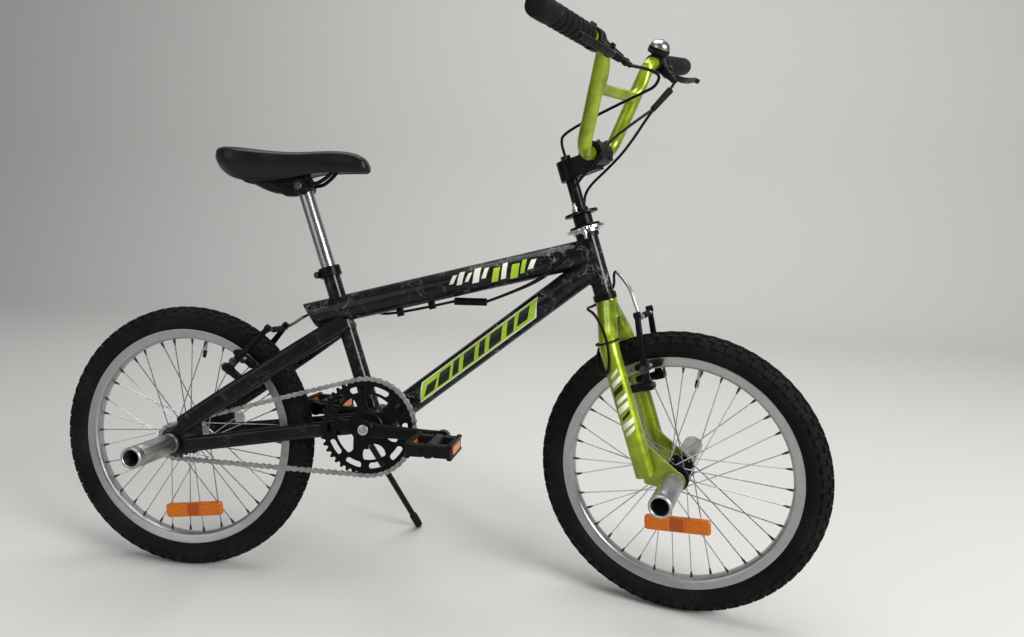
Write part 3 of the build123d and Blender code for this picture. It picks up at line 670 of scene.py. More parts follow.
@dataclass(frozen=True)
class FlakePaint(Finish):
    """Metallic paint with clouds of a darker tone and fine bright flake under lacquer."""

    shade: Colour = (0.2, 0.3, 0.01)

    def make(self, shader: Shader) -> bpy.types.Material:
        """Two tones blended by clouds, speckled by the distance to many small points."""
        clouds = shader.ramp(shader.noise(22.0, 5.0, distortion=0.6), 0.36, 0.62)
        colour = shader.mix(clouds, rgba(self.shade), rgba(self.colour))
        flake = shader.ramp(shader.cells(1500.0), 0.10, 0.34, 0.55, 0.0)
        colour = shader.mix(flake, colour, rgba(self.colour, 1.5))
        rough = shader.ramp(shader.noise(120.0, 4.0), 0.3, 0.7, 0.26, 0.42)
        shader.bump(shader.cells(1500.0), 0.04, 0.1)
        return shader.finish(Base_Color=colour, Roughness=rough, Metallic=0.45, Coat_Weight=0.5,
                             Coat_Roughness=0.08)


@dataclass(frozen=True)
class BareMetal(Finish):
    """Bare, plated or satin metal with fine scratches and a little tarnish."""

    roughness: float = 0.3
    grain: tuple[float, float, float] = (60.0, 900.0, 60.0)
    tarnish: float = 0.35

    def make(self, shader: Shader) -> bpy.types.Material:
        """Colour dulled by clouds; roughness and bump from a noise stretched into scratches."""
        scratch = shader.noise(1.0, 6.0, shader.stretched(self.grain))
        cloud = shader.ramp(shader.noise(28.0, 6.0), 0.4, 0.72)
        share = shader.math("MULTIPLY", cloud, self.tarnish)
        colour = shader.mix(share, rgba(self.colour), rgba(self.colour, 0.55))
        rough = shader.ramp(scratch, 0.3, 0.7, self.roughness * 0.75, self.roughness * 1.35)
        shader.bump(scratch, 0.06, 0.15)
        return shader.finish(Base_Color=colour, Roughness=rough, Metallic=1.0)


@dataclass(frozen=True)
class Rubber(Finish):
    """Moulded rubber, greyed by patches of dust."""

    roughness: float = 0.78
    dust: Colour = (0.075, 0.07, 0.062)
    dust_share: float = 0.45

    def make(self, shader: Shader) -> bpy.types.Material:
        """Dust by two noises multiplied; fine pebbled bump."""
        clouds = shader.ramp(shader.noise(14.0, 6.0), 0.42, 0.72)
        specks = shader.ramp(shader.noise(240.0, 3.0), 0.35, 0.7)
        share = shader.math("MULTIPLY", shader.math("MULTIPLY", clouds, specks), self.dust_share)
        colour = shader.mix(share, rgba(self.colour), rgba(self.dust))
        rough = shader.ramp(shader.noise(90.0, 4.0), 0.3, 0.7, self.roughness - 0.1, self.roughness + 0.12)
        shader.bump(shader.noise(700.0, 3.0), 0.18, 0.25)
        return shader.finish(Base_Color=colour, Roughness=rough, Specular_IOR_Level=0.1)


@dataclass(frozen=True)
class Vinyl(Finish):
    """Leather-grained vinyl, lighter in patches from wear and from painted sheen."""

    def make(self, shader: Shader) -> bpy.types.Material:
        """Grain from warped cell borders over a broad unevenness; a noise lifts the colour in patches, as
        wear and as painted sheen.
        """
        grain = shader.ramp(shader.cells(620.0, "DISTANCE_TO_EDGE", shader.warped(300.0, 0.0012)), 0.0, 0.3)
        # Painted sheen, with real wear: the colour is lifted to 1.6 times where this noise is high.
        wear_and_sheen = shader.ramp(shader.noise(16.0, 5.0), 0.35, 0.7)
        colour = shader.mix(wear_and_sheen, rgba(self.colour), rgba(self.colour, 1.6))
        rough = shader.ramp(wear_and_sheen, 0.0, 1.0, 0.28, 0.42)
        shader.bump(grain, 0.22, 0.3)
        shader.bump(shader.noise(45.0, 3.0), 0.10, 1.2)
        return shader.finish(Base_Color=colour, Roughness=rough, Specular_IOR_Level=0.2, Coat_Weight=0.08,
                             Coat_Roughness=0.2)


@dataclass(frozen=True)
class Plastic(Finish):
    """Moulded plastic or satin enamel with a fine texture."""

    roughness: float = 0.45
    texture: float = 0.12

    def make(self, shader: Shader) -> bpy.types.Material:
        """Colour lifted by scuffs; fine spark-eroded bump."""
        scuff = shader.ramp(shader.noise(55.0, 7.0), 0.5, 0.78)
        colour = shader.mix(shader.math("MULTIPLY", scuff, 0.6), rgba(self.colour), rgba(self.colour, 2.6))
        rough = shader.ramp(shader.noise(130.0, 4.0), 0.3, 0.7, self.roughness - 0.08, self.roughness + 0.1)
        shader.bump(shader.noise(900.0, 2.0), self.texture, 0.2)
        return shader.finish(Base_Color=colour, Roughness=rough, Specular_IOR_Level=0.12)


@dataclass(frozen=True)
class Lens(Finish):
    """A reflector's lens: clear coloured plastic over many small prisms."""

    prism: float = 260.0

    def make(self, shader: Shader) -> bpy.types.Material:
        """Bright and deep tones from small cells, under a smooth coat."""
        cells = shader.ramp(shader.cells(self.prism), 0.1, 0.75)
        panel = shader.ramp(shader.noise(24.0, 2.0), 0.35, 0.65, 0.0, 0.35)
        colour = shader.mix(cells, rgba(self.colour, 1.06), rgba(self.colour, 0.8))
        colour = shader.mix(panel, colour, rgba(self.colour, 0.7))
        shader.bump(shader.cells(self.prism), 0.2, 0.4)
        return shader.finish(Base_Color=colour, Roughness=0.3, Specular_IOR_Level=0.2,
                             Coat_Weight=0.25, Coat_Roughness=0.08)


PAINT_BLACK = GlossPaint("frame_gloss_black", Slot.FRAME_PAINT, (0.005, 0.005, 0.0055), crackle=0.9)
PAINT_PLAIN = GlossPaint("stay_gloss_black", Slot.FRAME_PAINT, (0.005, 0.005, 0.0055), crackle=0.3)
STRIPE_LIME = GlossPaint("stripe_lime", Slot.LIME_PAINT, (0.25, 0.38, 0.025), roughness=0.34)
STRIPE_PALE = GlossPaint("stripe_pale", Slot.FRAME_PAINT, (0.52, 0.56, 0.46), roughness=0.34)
STRIPE_DARK = GlossPaint("stripe_dark", Slot.FRAME_PAINT, (0.012, 0.013, 0.012), roughness=0.34)
LIME = FlakePaint("lime_flake", Slot.LIME_PAINT, (0.33, 0.42, 0.006), (0.15, 0.225, 0.004))
BLACK_METAL = Plastic("satin_black_metal", Slot.BLACK_METAL, (0.003, 0.003, 0.0032), 0.34, 0.05)
CHROME = BareMetal("chrome_plate", Slot.CHROME, (0.60, 0.60, 0.61), 0.16, (90.0, 90.0, 900.0), 0.3)
POST_STEEL = BareMetal("post_steel", Slot.CHROME, (0.32, 0.33, 0.34), 0.27, (500.0, 500.0, 40.0), 0.4)
STEEL = BareMetal("bare_steel", Slot.STEEL, (0.52, 0.51, 0.50), 0.34)
CHAIN_STEEL = BareMetal("chain_steel", Slot.STEEL, (0.36, 0.355, 0.34), 0.42, (300.0, 300.0, 300.0), 0.6)
DARK_STEEL = BareMetal("dark_steel", Slot.STEEL, (0.07, 0.07, 0.07), 0.4, (300.0, 300.0, 300.0), 0.5)
SPOKE_STEEL = BareMetal("spoke_steel", Slot.STEEL, (0.50, 0.50, 0.51), 0.26, (200.0, 200.0, 200.0), 0.4)
RIM_SILVER = BareMetal("rim_satin_silver", Slot.RIM_SILVER, (0.42, 0.42, 0.42), 0.36, (30.0, 1400.0, 30.0),
                       0.25)
PEG_METAL = BareMetal("peg_dull_metal", Slot.PEG_METAL, (0.46, 0.455, 0.45), 0.38, (300.0, 18.0, 300.0), 0.4)
TYRE_RUBBER = Rubber("tyre_rubber", Slot.TYRE, (0.006, 0.006, 0.006), 0.74, dust_share=0.2)
GRIP_RUBBER = Rubber("moulded_rubber", Slot.GRIP_RUBBER, (0.009, 0.009, 0.009), 0.56, dust_share=0.12)
VINYL = Vinyl("grained_vinyl", Slot.SADDLE_VINYL, (0.005, 0.005, 0.0055))
PLASTIC = Plastic("moulded_plastic", Slot.BLACK_PLASTIC, (0.006, 0.006, 0.006), 0.38)
CABLE_SLEEVE = Plastic("cable_sleeve", Slot.CABLE, (0.004, 0.004, 0.004), 0.42, 0.05)
AMBER = Lens("amber_lens", Slot.AMBER, (0.66, 0.15, 0.003))
AMBER_DEEP = Lens("amber_clip", Slot.AMBER, (0.42, 0.075, 0.002))
BELL_SILVER = BareMetal("bell_plate", Slot.BELL_SILVER, (0.46, 0.46, 0.46), 0.24, (400.0, 400.0, 400.0),
                        0.25)


# Pieces


def linked(name: str, data: bpy.types.ID) -> bpy.types.Object:
    """A new object in the scene."""
    made = bpy.data.objects.new(name, data)
    bpy.context.scene.collection.objects.link(made)
    return made


def shade_smooth(mesh: bpy.types.Mesh, sharp_deg: float) -> None:
    """Shade a mesh smooth, but for edges sharper than an angle."""
    mesh.polygons.foreach_set("use_smooth", np.ones(len(mesh.polygons), bool))
    mesh.set_sharp_from_angle(angle=math.radians(sharp_deg))


def settle(piece: bpy.types.Object, body: Body, finish: Finish, replaces: Sequence[str]) -> bpy.types.Object:
    """Give a piece its finish, its body and the nodes that it stands for, and report it.

    Args:
        piece: The piece, in place.
        body: Body that it moves with.
        finish: Its finish.
        replaces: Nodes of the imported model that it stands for.

    Returns:
        The piece.
    """
    piece.data.materials.append(finish.material())
    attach(piece, body.value)
    if replaces:
        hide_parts(*replaces)
    LOG.info("%s on %s, %s", piece.name, body.value, finish.name)
    return piece


@dataclass(frozen=True)
class Carrier:
    """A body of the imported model, with the placement of what rides on it."""

    place: Placement
    body: Body

    def add(self, name: str, surface: Surface, finish: Finish, replaces: Sequence[str] = (),
            smooth_deg: float = 38.0) -> bpy.types.Object:
        """Make a mesh object of a surface.

        Args:
            name: Name of the piece.
            surface: Its surface in the drawing, in millimetres.
            finish: Its finish.
            replaces: Nodes that it stands for.
            smooth_deg: Edges sharper than this show as edges.

        Returns:
            The piece, at the origin, with its place in its mesh.
        """
        mesh = bpy.data.meshes.new(name)
        used = surface.faces >= 0
        corners = surface.faces[used]
        totals = used.sum(1)
        mesh.vertices.add(len(surface.points))
        mesh.vertices.foreach_set("co", self.place.put(surface.points).astype(np.float32).ravel())
        mesh.loops.add(len(corners))
        mesh.loops.foreach_set("vertex_index", corners.astype(np.int32))
        mesh.polygons.add(len(totals))
        mesh.polygons.foreach_set("loop_start", (np.cumsum(totals) - totals).astype(np.int32))
        unrolled = mesh.uv_layers.new(name="unrolled")
        unrolled.data.foreach_set("uv", surface.uv[used].astype(np.float32).ravel())
        mesh.update(calc_edges=True)
        mesh.validate()
        shade_smooth(mesh, smooth_deg)
        return settle(linked(name, mesh), self.body, finish, replaces)

    def cable(self, name: str, route: Sequence[Array], length: float, replaces: Sequence[str],
              diameter: float = 5.0) -> None:
        """A brake cable in its sleeve, fixed at both ends: a curve of one smooth spline with a round bevel.

        Args:
            name: Name of the piece.
            route: Control points of its line in the drawing.
            length: Length of the sleeve, in metres; not used.
            replaces: Nodes that it stands for.
            diameter: Diameter of the sleeve, in millimetres.
        """
        curve = bpy.data.curves.new(name, "CURVE")
        curve.dimensions = "3D"
        spline = curve.splines.new("NURBS")
        spline.points.add(len(route) - 1)
        spots = self.place.put(np.array(route))
        spline.points.foreach_set("co", np.c_[spots, np.ones(len(spots))].astype(np.float32).ravel())
        spline.order_u = 3
        spline.use_endpoint_u = True
        spline.resolution_u = 10
        curve.bevel_depth = diameter / 2 * MM
        curve.bevel_resolution = 3
        curve.use_fill_caps = True
        piece = settle(linked(name, curve), self.body, CABLE_SLEEVE, replaces)


FRAME = Carrier(ON_FRAME, Body.FRAME)
FORK = Carrier(ON_FORK, Body.STEER)
BARS = Carrier(ON_BARS, Body.STEER)
CRANK = Carrier(ON_FRAME, Body.CRANK)
COG = Carrier(ON_FRAME, Body.SPROCKET)
STAND = Carrier(ON_FRAME, Body.STAND)


def dress(finish: Finish, *nodes: str) -> None:
    """Give nodes whose shape is right a finish of their own."""
    for node in nodes:
        materials = frame["nodes"][node].data.materials
        materials.clear()
        materials.append(finish.material())
        LOG.info("%s dressed in %s", node, finish.name)


def soften(node: str, name: str, body: Body, finish: Finish, width: float = 0.7,
           angle_deg: float = 40.0) -> bpy.types.Object:
    """A merged copy of a node with its sharp edges bevelled.

    Args:
        node: Node that the piece stands for.
        name: Name of the piece.
        body: Body that it moves with.
        finish: Its finish.
        width: Width of the bevel.
        angle_deg: Edges sharper than this are bevelled.

    Returns:
        The piece.
    """
    work = bmesh.new()
    work.from_mesh(frame["nodes"][node].data)
    bmesh.ops.remove_doubles(work, verts=work.verts, dist=2e-6)
    bmesh.ops.dissolve_limit(work, angle_limit=math.radians(1.0), verts=work.verts, edges=work.edges)
    mesh = bpy.data.meshes.new(name)
    work.to_mesh(mesh)
    work.free()
    for layer in ("custom_normal", "sharp_face", "sharp_edge"):
        if layer in mesh.attributes:
            mesh.attributes.remove(mesh.attributes[layer])
    shade_smooth(mesh, angle_deg)
    piece = linked(name, mesh)
    bevel = piece.modifiers.new("eased_edges", "BEVEL")
    bevel.width = width * MM
    bevel.segments = 2
    bevel.limit_method = "ANGLE"
    bevel.angle_limit = math.radians(angle_deg)
    bevel.harden_normals = True
    return settle(piece, body, finish, [node])


# Wheels


@dataclass
class Wheel:
    """One wheel: tyre with blocks, rim, spokes with nipples, hub, reflector and valve."""

    name: str
    carrier: Carrier
    centre: Array
    hub_half: float
    hub_finish: Finish
    reflector: tuple[float, float]
    valve_deg: float
    core_y: Optional[tuple[float, float]] = None
    ring_r: float = 229.62
    section_r: float = 24.38
    block_h: float = 2.7
    pitches: int = 66
    spoke_r: float = 1.05
    spoke_count: int = 36
    spoke_lead_deg: float = 60.0
    flange_r: float = 21.0
    flange_y: float = 29.0
    nipple_r: float = 193.0
    nipple_y: float = 4.0
    bead_r: float = 204.0
    bead_y: float = 10.6

    # Rows of tread blocks: section angle, half length, half width, stagger as a share of the pitch
    ROWS = ((10.5, 6.6, 3.6, 0.0), (33.0, 5.6, 4.4, 0.5), (60.0, 7.0, 5.6, 0.08))

    def outward(self, degrees: Array) -> Array:
        """Directions out from the axle, from the angle above straight ahead."""
        turn = np.radians(np.asarray(degrees, float))
        return np.stack([np.cos(turn), np.zeros_like(turn), np.sin(turn)], -1)

    def tyre(self) -> Surface:
        """The casing: a circle's arc turned about the axle, with three raised rings on each side."""
        turn = np.radians(np.linspace(-143, 143, 45))
        ridges = sum(np.exp(-((np.abs(np.degrees(turn)) - at) / 2.2) ** 2) for at in (100, 118, 133))
        section = self.section_r - self.block_h + 0.7 * ridges
        arc = np.stack([self.ring_r + section * np.cos(turn), section * np.sin(turn)], -1)
        profile = np.concatenate([[(self.bead_r, -self.bead_y)], arc, [(self.bead_r, self.bead_y)]])
        return revolve(profile, self.centre, ACROSS, 144, closed=True)

    def blocks(self) -> Surface:
        """Tread blocks: tapered boxes copied round the casing, square to it, in rows on both sides."""
        corner = np.array(((-1, -1), (1, -1), (1, 1), (-1, 1)), float)
        layers = ((1.06, -0.5), (1.0, 0.2), (0.82, 1.0))
        box = loft(np.array([np.c_[corner * share, np.full(4, height)] for share, height in layers]))
        parts = []
        for angle, half_long, half_wide, stagger in self.ROWS:
            for side in (-1, 1):
                share = np.arange(self.pitches) + stagger + (0.5 if side > 0 else 0.0)
                out = self.outward(share * 360 / self.pitches)
                tip = math.radians(angle) * side
                normal = out * math.cos(tip) + ACROSS * math.sin(tip)
                tangent = np.cross(out, ACROSS)
                across = np.cross(normal, tangent)
                turns = np.stack([tangent * half_long, across * half_wide, normal * self.block_h], -1)
                foot = self.centre + out * self.ring_r + normal * (self.section_r - self.block_h)
                parts.append(box.copies(turns, foot).outward())
        return Surface.joined(parts)

    def rim(self) -> Surface:
        """A box-section rim: hooked flanges, flat brake tracks and a rounded inner wall."""
        half = [(203.0, 4.0), (206.5, 9.6), (209.6, 10.4), (210.9, 11.6), (210.6, 13.0), (209.0, 13.3),
                (208.0, 12.8), (198.0, 12.6), (197.2, 12.2), (195.2, 11.6), (192.6, 8.4), (191.6, 4.5)]
        return revolve(both_sides(half), self.centre, ACROSS, 160, closed=True)

    @property
    def leads(self) -> Array:
        """1 for every spoke that leads and -1 for every spoke that trails, in pairs."""
        return np.where(np.arange(self.spoke_count) % 4 < 2, 1.0, -1.0)

    def spoke_ends(self) -> tuple[Array, Array]:
        """Both ends of every spoke, at the hub's flange and at the rim, crossing three others."""
        index = np.arange(self.spoke_count)
        side = np.where(index % 2, 1.0, -1.0)
        lead = self.leads
        at_rim = index * 360 / self.spoke_count
        hub = self.outward(at_rim + lead * self.spoke_lead_deg) * self.flange_r
        hub += ACROSS * (side * self.flange_y + 1.8 * lead)[:, None]
        rim = self.outward(at_rim) * self.nipple_r + ACROSS * (side * self.nipple_y)[:, None]
        return self.centre + hub, self.centre + rim

    def along_spokes(self, unit_piece: Surface, radius: float, start: float,
                     end: Optional[float] = None) -> Surface:
        """Copies of a piece of unit height and radius, set along every spoke.

        Args:
            unit_piece: A piece about the Z axis, from height 0 to 1.
            radius: Scale across the spoke.
            start: Distance from the rim's end where it starts.
            end: Distance from the rim's end where it stops, or None for the hub's end.

        Returns:
            The copies.
        """
        hub, rim = self.spoke_ends()
        down = hub - rim
        length = np.linalg.norm(down, axis=1)
        along = down / length[:, None]
        reach = (length if end is None else np.full(len(length), end)) - start
        first, second = square_to(along, ACROSS)
        turns = np.stack([first * radius, second * radius, along * reach[:, None]], -1)
        return unit_piece.copies(turns, rim + along * start)

    def spoke_heads(self) -> Surface:
        """Spoke heads, outside the flange on spokes that lead and inside it on spokes that trail."""
        spots, _ = self.spoke_ends()
        head = revolve([(0.9, -4.6), (2.2, -4.2), (2.2, -3.4)], vec(0, 0, 0), ACROSS, 8)
        half_turn = -np.sign(spots[:, 1] - self.centre[1]) * self.leads
        turns = np.eye(3) * np.stack([np.ones(len(spots)), half_turn, half_turn], -1)[:, None]
        return head.copies(turns, spots)

    def hub(self) -> Surface:
        """Hub shell: a profile with two flanges turned about the axle, and the freewheel's core, if any."""
        h = self.hub_half
        half = [(13.0, 18.0), (16.0, 23.0), (22.6, 25.4), (24.0, 26.4), (24.0, 31.6), (22.8, 32.6),
                (14.0, 33.6), (11.6, 36.0), (11.0, h - 1.0), (10.2, h), (5.4, h)]
        parts = [revolve(both_sides(half), self.centre, ACROSS, 40, closed=True)]
        if self.core_y:
            core = collar(11.0, 19.7, *self.core_y, 1.1)
            parts.append(revolve(core, self.centre, ACROSS, 40, closed=True))
        return Surface.joined(parts)

    def lens(self) -> tuple[Surface, Surface]:
        """The reflector between the spokes: a long lens in two raised panels, and the clip in its middle.

        Returns:
            The panels and the clip, as deep as the spokes are at the reflector's radius.
        """
        radius, degrees = self.reflector
        out = self.outward(degrees)
        tangent = np.cross(out, ACROSS)
        share = (radius - self.flange_r) / (self.nipple_r - self.flange_r)
        depth = self.flange_y - (self.flange_y - self.nipple_y) * share
        spot = self.centre + out * radius - ACROSS * depth
        panels = [block(spot, (116, 27, 8.6), tangent, out, 6.0, 1.4)]
        for shift in (-1, 1):
            panels.append(block(spot + tangent * 35 * shift, (40, 20, 10), tangent, out, 2.0, 0.8))
        return Surface.joined(panels), block(spot, (25, 24, 10), tangent, out, 2.0, 1.0)

    def build(self) -> None:
        """Make the wheel's pieces."""
        name = self.name
        self.carrier.add(f"{name}_tyre_casing", self.tyre(), TYRE_RUBBER, [f"{name}_tyre"])
        self.carrier.add(f"{name}_tread_blocks", self.blocks(), TYRE_RUBBER)
        self.carrier.add(f"{name}_rim_hoop", self.rim(), RIM_SILVER, [f"{name}_rim"])
        rod = revolve([(1, 0), (1, 1)], vec(0, 0, 0), UPWARD, 8)
        self.carrier.add(f"{name}_spoke_set", self.along_spokes(rod, self.spoke_r, 0), SPOKE_STEEL,
                         [f"{name}_spokes"])
        nipple = revolve([(1, 0), (1, 0.62), (0.7, 0.7), (0.62, 1)], vec(0, 0, 0), UPWARD, 8)
        eyelet = revolve([(1, 0), (0.9, 0.7), (0.5, 1)], vec(0, 0, 0), UPWARD, 12)
        self.carrier.add(f"{name}_nipples", self.along_spokes(nipple, 2.3, -1, 13), DARK_STEEL)
        self.carrier.add(f"{name}_eyelets", self.along_spokes(eyelet, 3.9, 0.2, 2.4), RIM_SILVER)
        self.carrier.add(f"{name}_spoke_heads", self.spoke_heads(), SPOKE_STEEL)
        self.carrier.add(f"{name}_hub_shell", self.hub(), self.hub_finish, [f"{name}_hub"])
        panels, clip = self.lens()
        self.carrier.add(f"{name}_lens", panels, AMBER, [f"{name}_reflector"])
        self.carrier.add(f"{name}_lens_clip", clip, AMBER_DEEP)
        out = self.outward(self.valve_deg)
        foot = self.centre + out * self.nipple_r
        stem = [(3.2, 0), (3.2, 3), (2.5, 4), (2.5, 24)]
        cap = [(3.1, 20), (3.6, 21), (3.4, 32), (2.4, 34.5)]
        self.carrier.add(f"{name}_valve", revolve(stem, foot, -out, 14), STEEL)
        self.carrier.add(f"{name}_valve_cap", revolve(cap, foot, -out, 14), PLASTIC)


@dataclass
class Pegs:
    """Two foot pegs on one axle, with the axle's nuts and washers."""

    name: str
    carrier: Carrier
    centre: Array
    base_y: float
    tip_y: float
    radius: float = 19.0
    bore_r: float = 14.5
    floor_t: float = 8.0

    def peg(self) -> Surface:
        """A tube with eased ends and two shallow grooves, closed at its base."""
        r, low, tip = self.radius, self.base_y, self.tip_y
        profile = [(6.0, low), (r - 1.2, low), (r, low + 1.2)]
        for groove in (tip - 14, low + 10):
            profile += [(r, groove - 1.4), (r - 0.5, groove - 0.7), (r - 0.5, groove + 0.7),
                        (r, groove + 1.4)]
        profile = profile[:3] + sorted(profile[3:], key=lambda row: row[1])
        profile += [(r, tip - 1.2), (r - 1.0, tip), (self.bore_r + 0.8, tip), (self.bore_r, tip - 1.0),
                    (self.bore_r, low + self.floor_t), (6.0, low + self.floor_t)]
        return revolve(profile, self.centre, ACROSS, 48, closed=True)

    def nut(self) -> Surface:
        """The washer, six-sided nut and axle end at the bottom of the bore."""
        low = self.base_y + self.floor_t
        return Surface.joined([
            revolve([(13.0, low), (13.0, low + 1.6)], self.centre, ACROSS, 28),
            revolve([(9.8, low + 1), (9.8, low + 8), (8.4, low + 9)], self.centre, ACROSS, 6),
            revolve([(5.0, low + 8), (5.0, low + 13), (4.2, low + 14)], self.centre, ACROSS, 20)])

    def build(self) -> None:
        """Make both pegs and dress their axle."""
        self.carrier.add(f"{self.name}_peg_tubes", self.peg().with_twin(), PEG_METAL, [f"{self.name}_pegs"])
        self.carrier.add(f"{self.name}_peg_nuts", self.nut().with_twin(), DARK_STEEL)
        dress(STEEL, f"{self.name}_axle")


# Frame


@dataclass(frozen=True)
class Tube:
    """A round tube: a point of its axis, its direction and its radius."""

    start: Array
    along: Array
    radius: float

    def meeting(self, other: "Tube", count: int = 96, back: bool = False) -> Array:
        """The line where this tube's skin meets another's.

        Args:
            other: The other tube.
            count: Points of the line.
            back: Whether the farther of the two crossings is taken.

        Returns:
            For each line along the skin, the point whose distance from the other axis is its radius,
            from the quadratic in the distance along; lines that pass by take their nearest point.
        """
        a, b = unit(self.along), unit(other.along)
        first, second = square_to(a, UPWARD if abs(a[2]) < 0.9 else FORWARD)
        turn = np.linspace(0, 2 * math.pi, count, endpoint=False)[:, None]
        skin = self.start + self.radius * (np.cos(turn) * first + np.sin(turn) * second)
        away = skin - other.start
        flat = a - (a @ b) * b
        away = away - (away @ b)[:, None] * b
        half = away @ flat
        root = np.sqrt(np.clip(half**2 - (flat @ flat) * ((away**2).sum(1) - other.radius**2), 0, None))
        reach = (-half + (root if back else -root)) / (flat @ flat)
        return skin + reach[:, None] * a

    def bead(self, other: "Tube", size: float = 2.4, back: bool = False) -> Surface:
        """A weld bead round the meeting of two tubes, its size rippled as the weld pool leaves it."""
        line = self.meeting(other, back=back)
        ripple = size * (1 + 0.16 * np.sin(np.arange(len(line)) * 2 * math.pi / 4))
        return sweep(line, ripple, unit(self.along), 8, closed=True)

    def patch(self, corners: Sequence[tuple[float, float]], rise: float = 0.3, steps: int = 9) -> Surface:
        """A thin film on the tube's skin.

        Args:
            corners: Four corners as distance along the tube and angle above its right side.
            rise: Thickness over the skin.
            steps: Points across.

        Returns:
            The four corners blended over a grid and rolled on the skin, with an inner face below it.
        """
        table = np.array(corners, float)
        u, v = np.linspace(0, 1, 6)[:, None, None], np.linspace(0, 1, steps)[None, :, None]
        flat = ((1 - u) * (1 - v) * table[0] + u * (1 - v) * table[1]
                + u * v * table[2] + (1 - u) * v * table[3])
        a = unit(self.along)
        up, _ = square_to(a, UPWARD)
        right = -ACROSS
        turn = np.radians(flat[..., 1:])
        skin = np.cos(turn) * right + np.sin(turn) * up
        axis = self.start + flat[..., :1] * a
        outer = axis + (self.radius + rise) * skin
        inner = axis + (self.radius - 0.4) * skin
        return loft(np.concatenate([outer, inner[:, ::-1]], 1))


@dataclass
class MainFrame:
    """The frame's tubes with their welds and stripes."""

    head: Tube = Tube(LAYOUT.on_head(342), LAYOUT.up_axis, 18.0)
    top: Tube = Tube(vec(215.0, 0, 493.5), unit(vec(397.8, 0, 104.8)), 25.0)
    down: Tube = Tube(vec(376.6, 0, 295.6), unit(vec(500, 0, 402.35)), 23.0)
    seat: Tube = Tube(LAYOUT.bracket, LAYOUT.seat_way, 15.9)
    shell: Tube = Tube(LAYOUT.bracket, ACROSS, 28.5)

    # Band on the down tube and the slashes on it: start, length, low angle, high angle
    DOWN_BAND = (108, 262, -30, 36)
    DOWN_SLASHES = ((118, 24, -22, 14), (150, 26, -23, 24), (184, 14, -23, 29), (208, 26, -23, 29),
                    (244, 14, -23, 29), (268, 28, -23, 29), (308, 16, -23, 29), (334, 24, -16, 29))
    # Slashes on the top tube: the same, and whether it is lime
    TOP_SLASHES = ((310, 8, -4, 30, False), (323, 10, -14, 38, False), (339, 7, -8, 26, False),
                   (352, 12, -20, 40, False), (370, 8, -10, 32, False), (386, 12, -34, 22, True),
                   (404, 9, -30, 34, False), (420, 14, -38, 20, True), (440, 8, -24, 30, True),
                   (455, 10, -14, 22, False))

    def slash(self, tube: Tube, start: float, length: float, low: float, high: float, lean: float,
              grow: float, rise: float, left: bool) -> Surface:
        """One slanting bar on a tube's right or left side.

        Args:
            tube: Tube that carries it.
            start: Distance along the tube of its lower corner.
            length: Its length along the tube.
            low: Angle of its lower edge above the side.
            high: Angle of its upper edge.
            lean: How far its upper edge is shifted along.
            grow: Margin added all round.
            rise: Thickness over the skin.
            left: Whether it is on the left.

        Returns:
            The bar as a thin film.
        """
        swell = math.degrees(grow / tube.radius)
        corners = [(start - grow, low - swell), (start + length + grow, low - swell),
                   (start + length + lean + grow, high + swell), (start + lean - grow, high + swell)]
        if left:
            corners = [(along, 180 - angle) for along, angle in corners]
        return tube.patch(corners, rise)

    def build(self) -> None:
        """Dress the tubes and add welds and stripes."""
        dress(PAINT_BLACK, "head_tube", "top_tube", "down_tube", "seat_tube")
        dress(PAINT_PLAIN, "chain_stays", "seat_stays", "bottom_bracket")
        soften("rear_dropouts", "rear_dropout_plates", Body.FRAME, PAINT_PLAIN, 0.8)
        dress(BLACK_METAL, "headset_cups")
        welds = [self.top.bead(self.head, 2.6), self.down.bead(self.head, 2.6),
                 self.down.bead(self.shell, 2.4, back=True), self.seat.bead(self.shell, 2.2, back=True)]
        FRAME.add("frame_welds", Surface.joined(welds), PAINT_PLAIN)
        pale, lime, dark = [], [], []
        for left in (False, True):
            pale.append(self.slash(self.down, *self.DOWN_BAND, 24, 2.2, 0.16, left))
            lime.append(self.slash(self.down, *self.DOWN_BAND, 24, 0.0, 0.32, left))
            dark += [self.slash(self.down, *row, 19, 0.0, 0.46, left) for row in self.DOWN_SLASHES]
            for start, length, low, high, bright in self.TOP_SLASHES:
                into = lime if bright else pale
                into.append(self.slash(self.top, start, length, low, high, 10, 0.0, 0.3, left))
        FRAME.add("pale_stripes", Surface.joined(pale), STRIPE_PALE)
        FRAME.add("lime_stripes", Surface.joined(lime), STRIPE_LIME)
        FRAME.add("dark_stripes", Surface.joined(dark), STRIPE_DARK)


# Seat


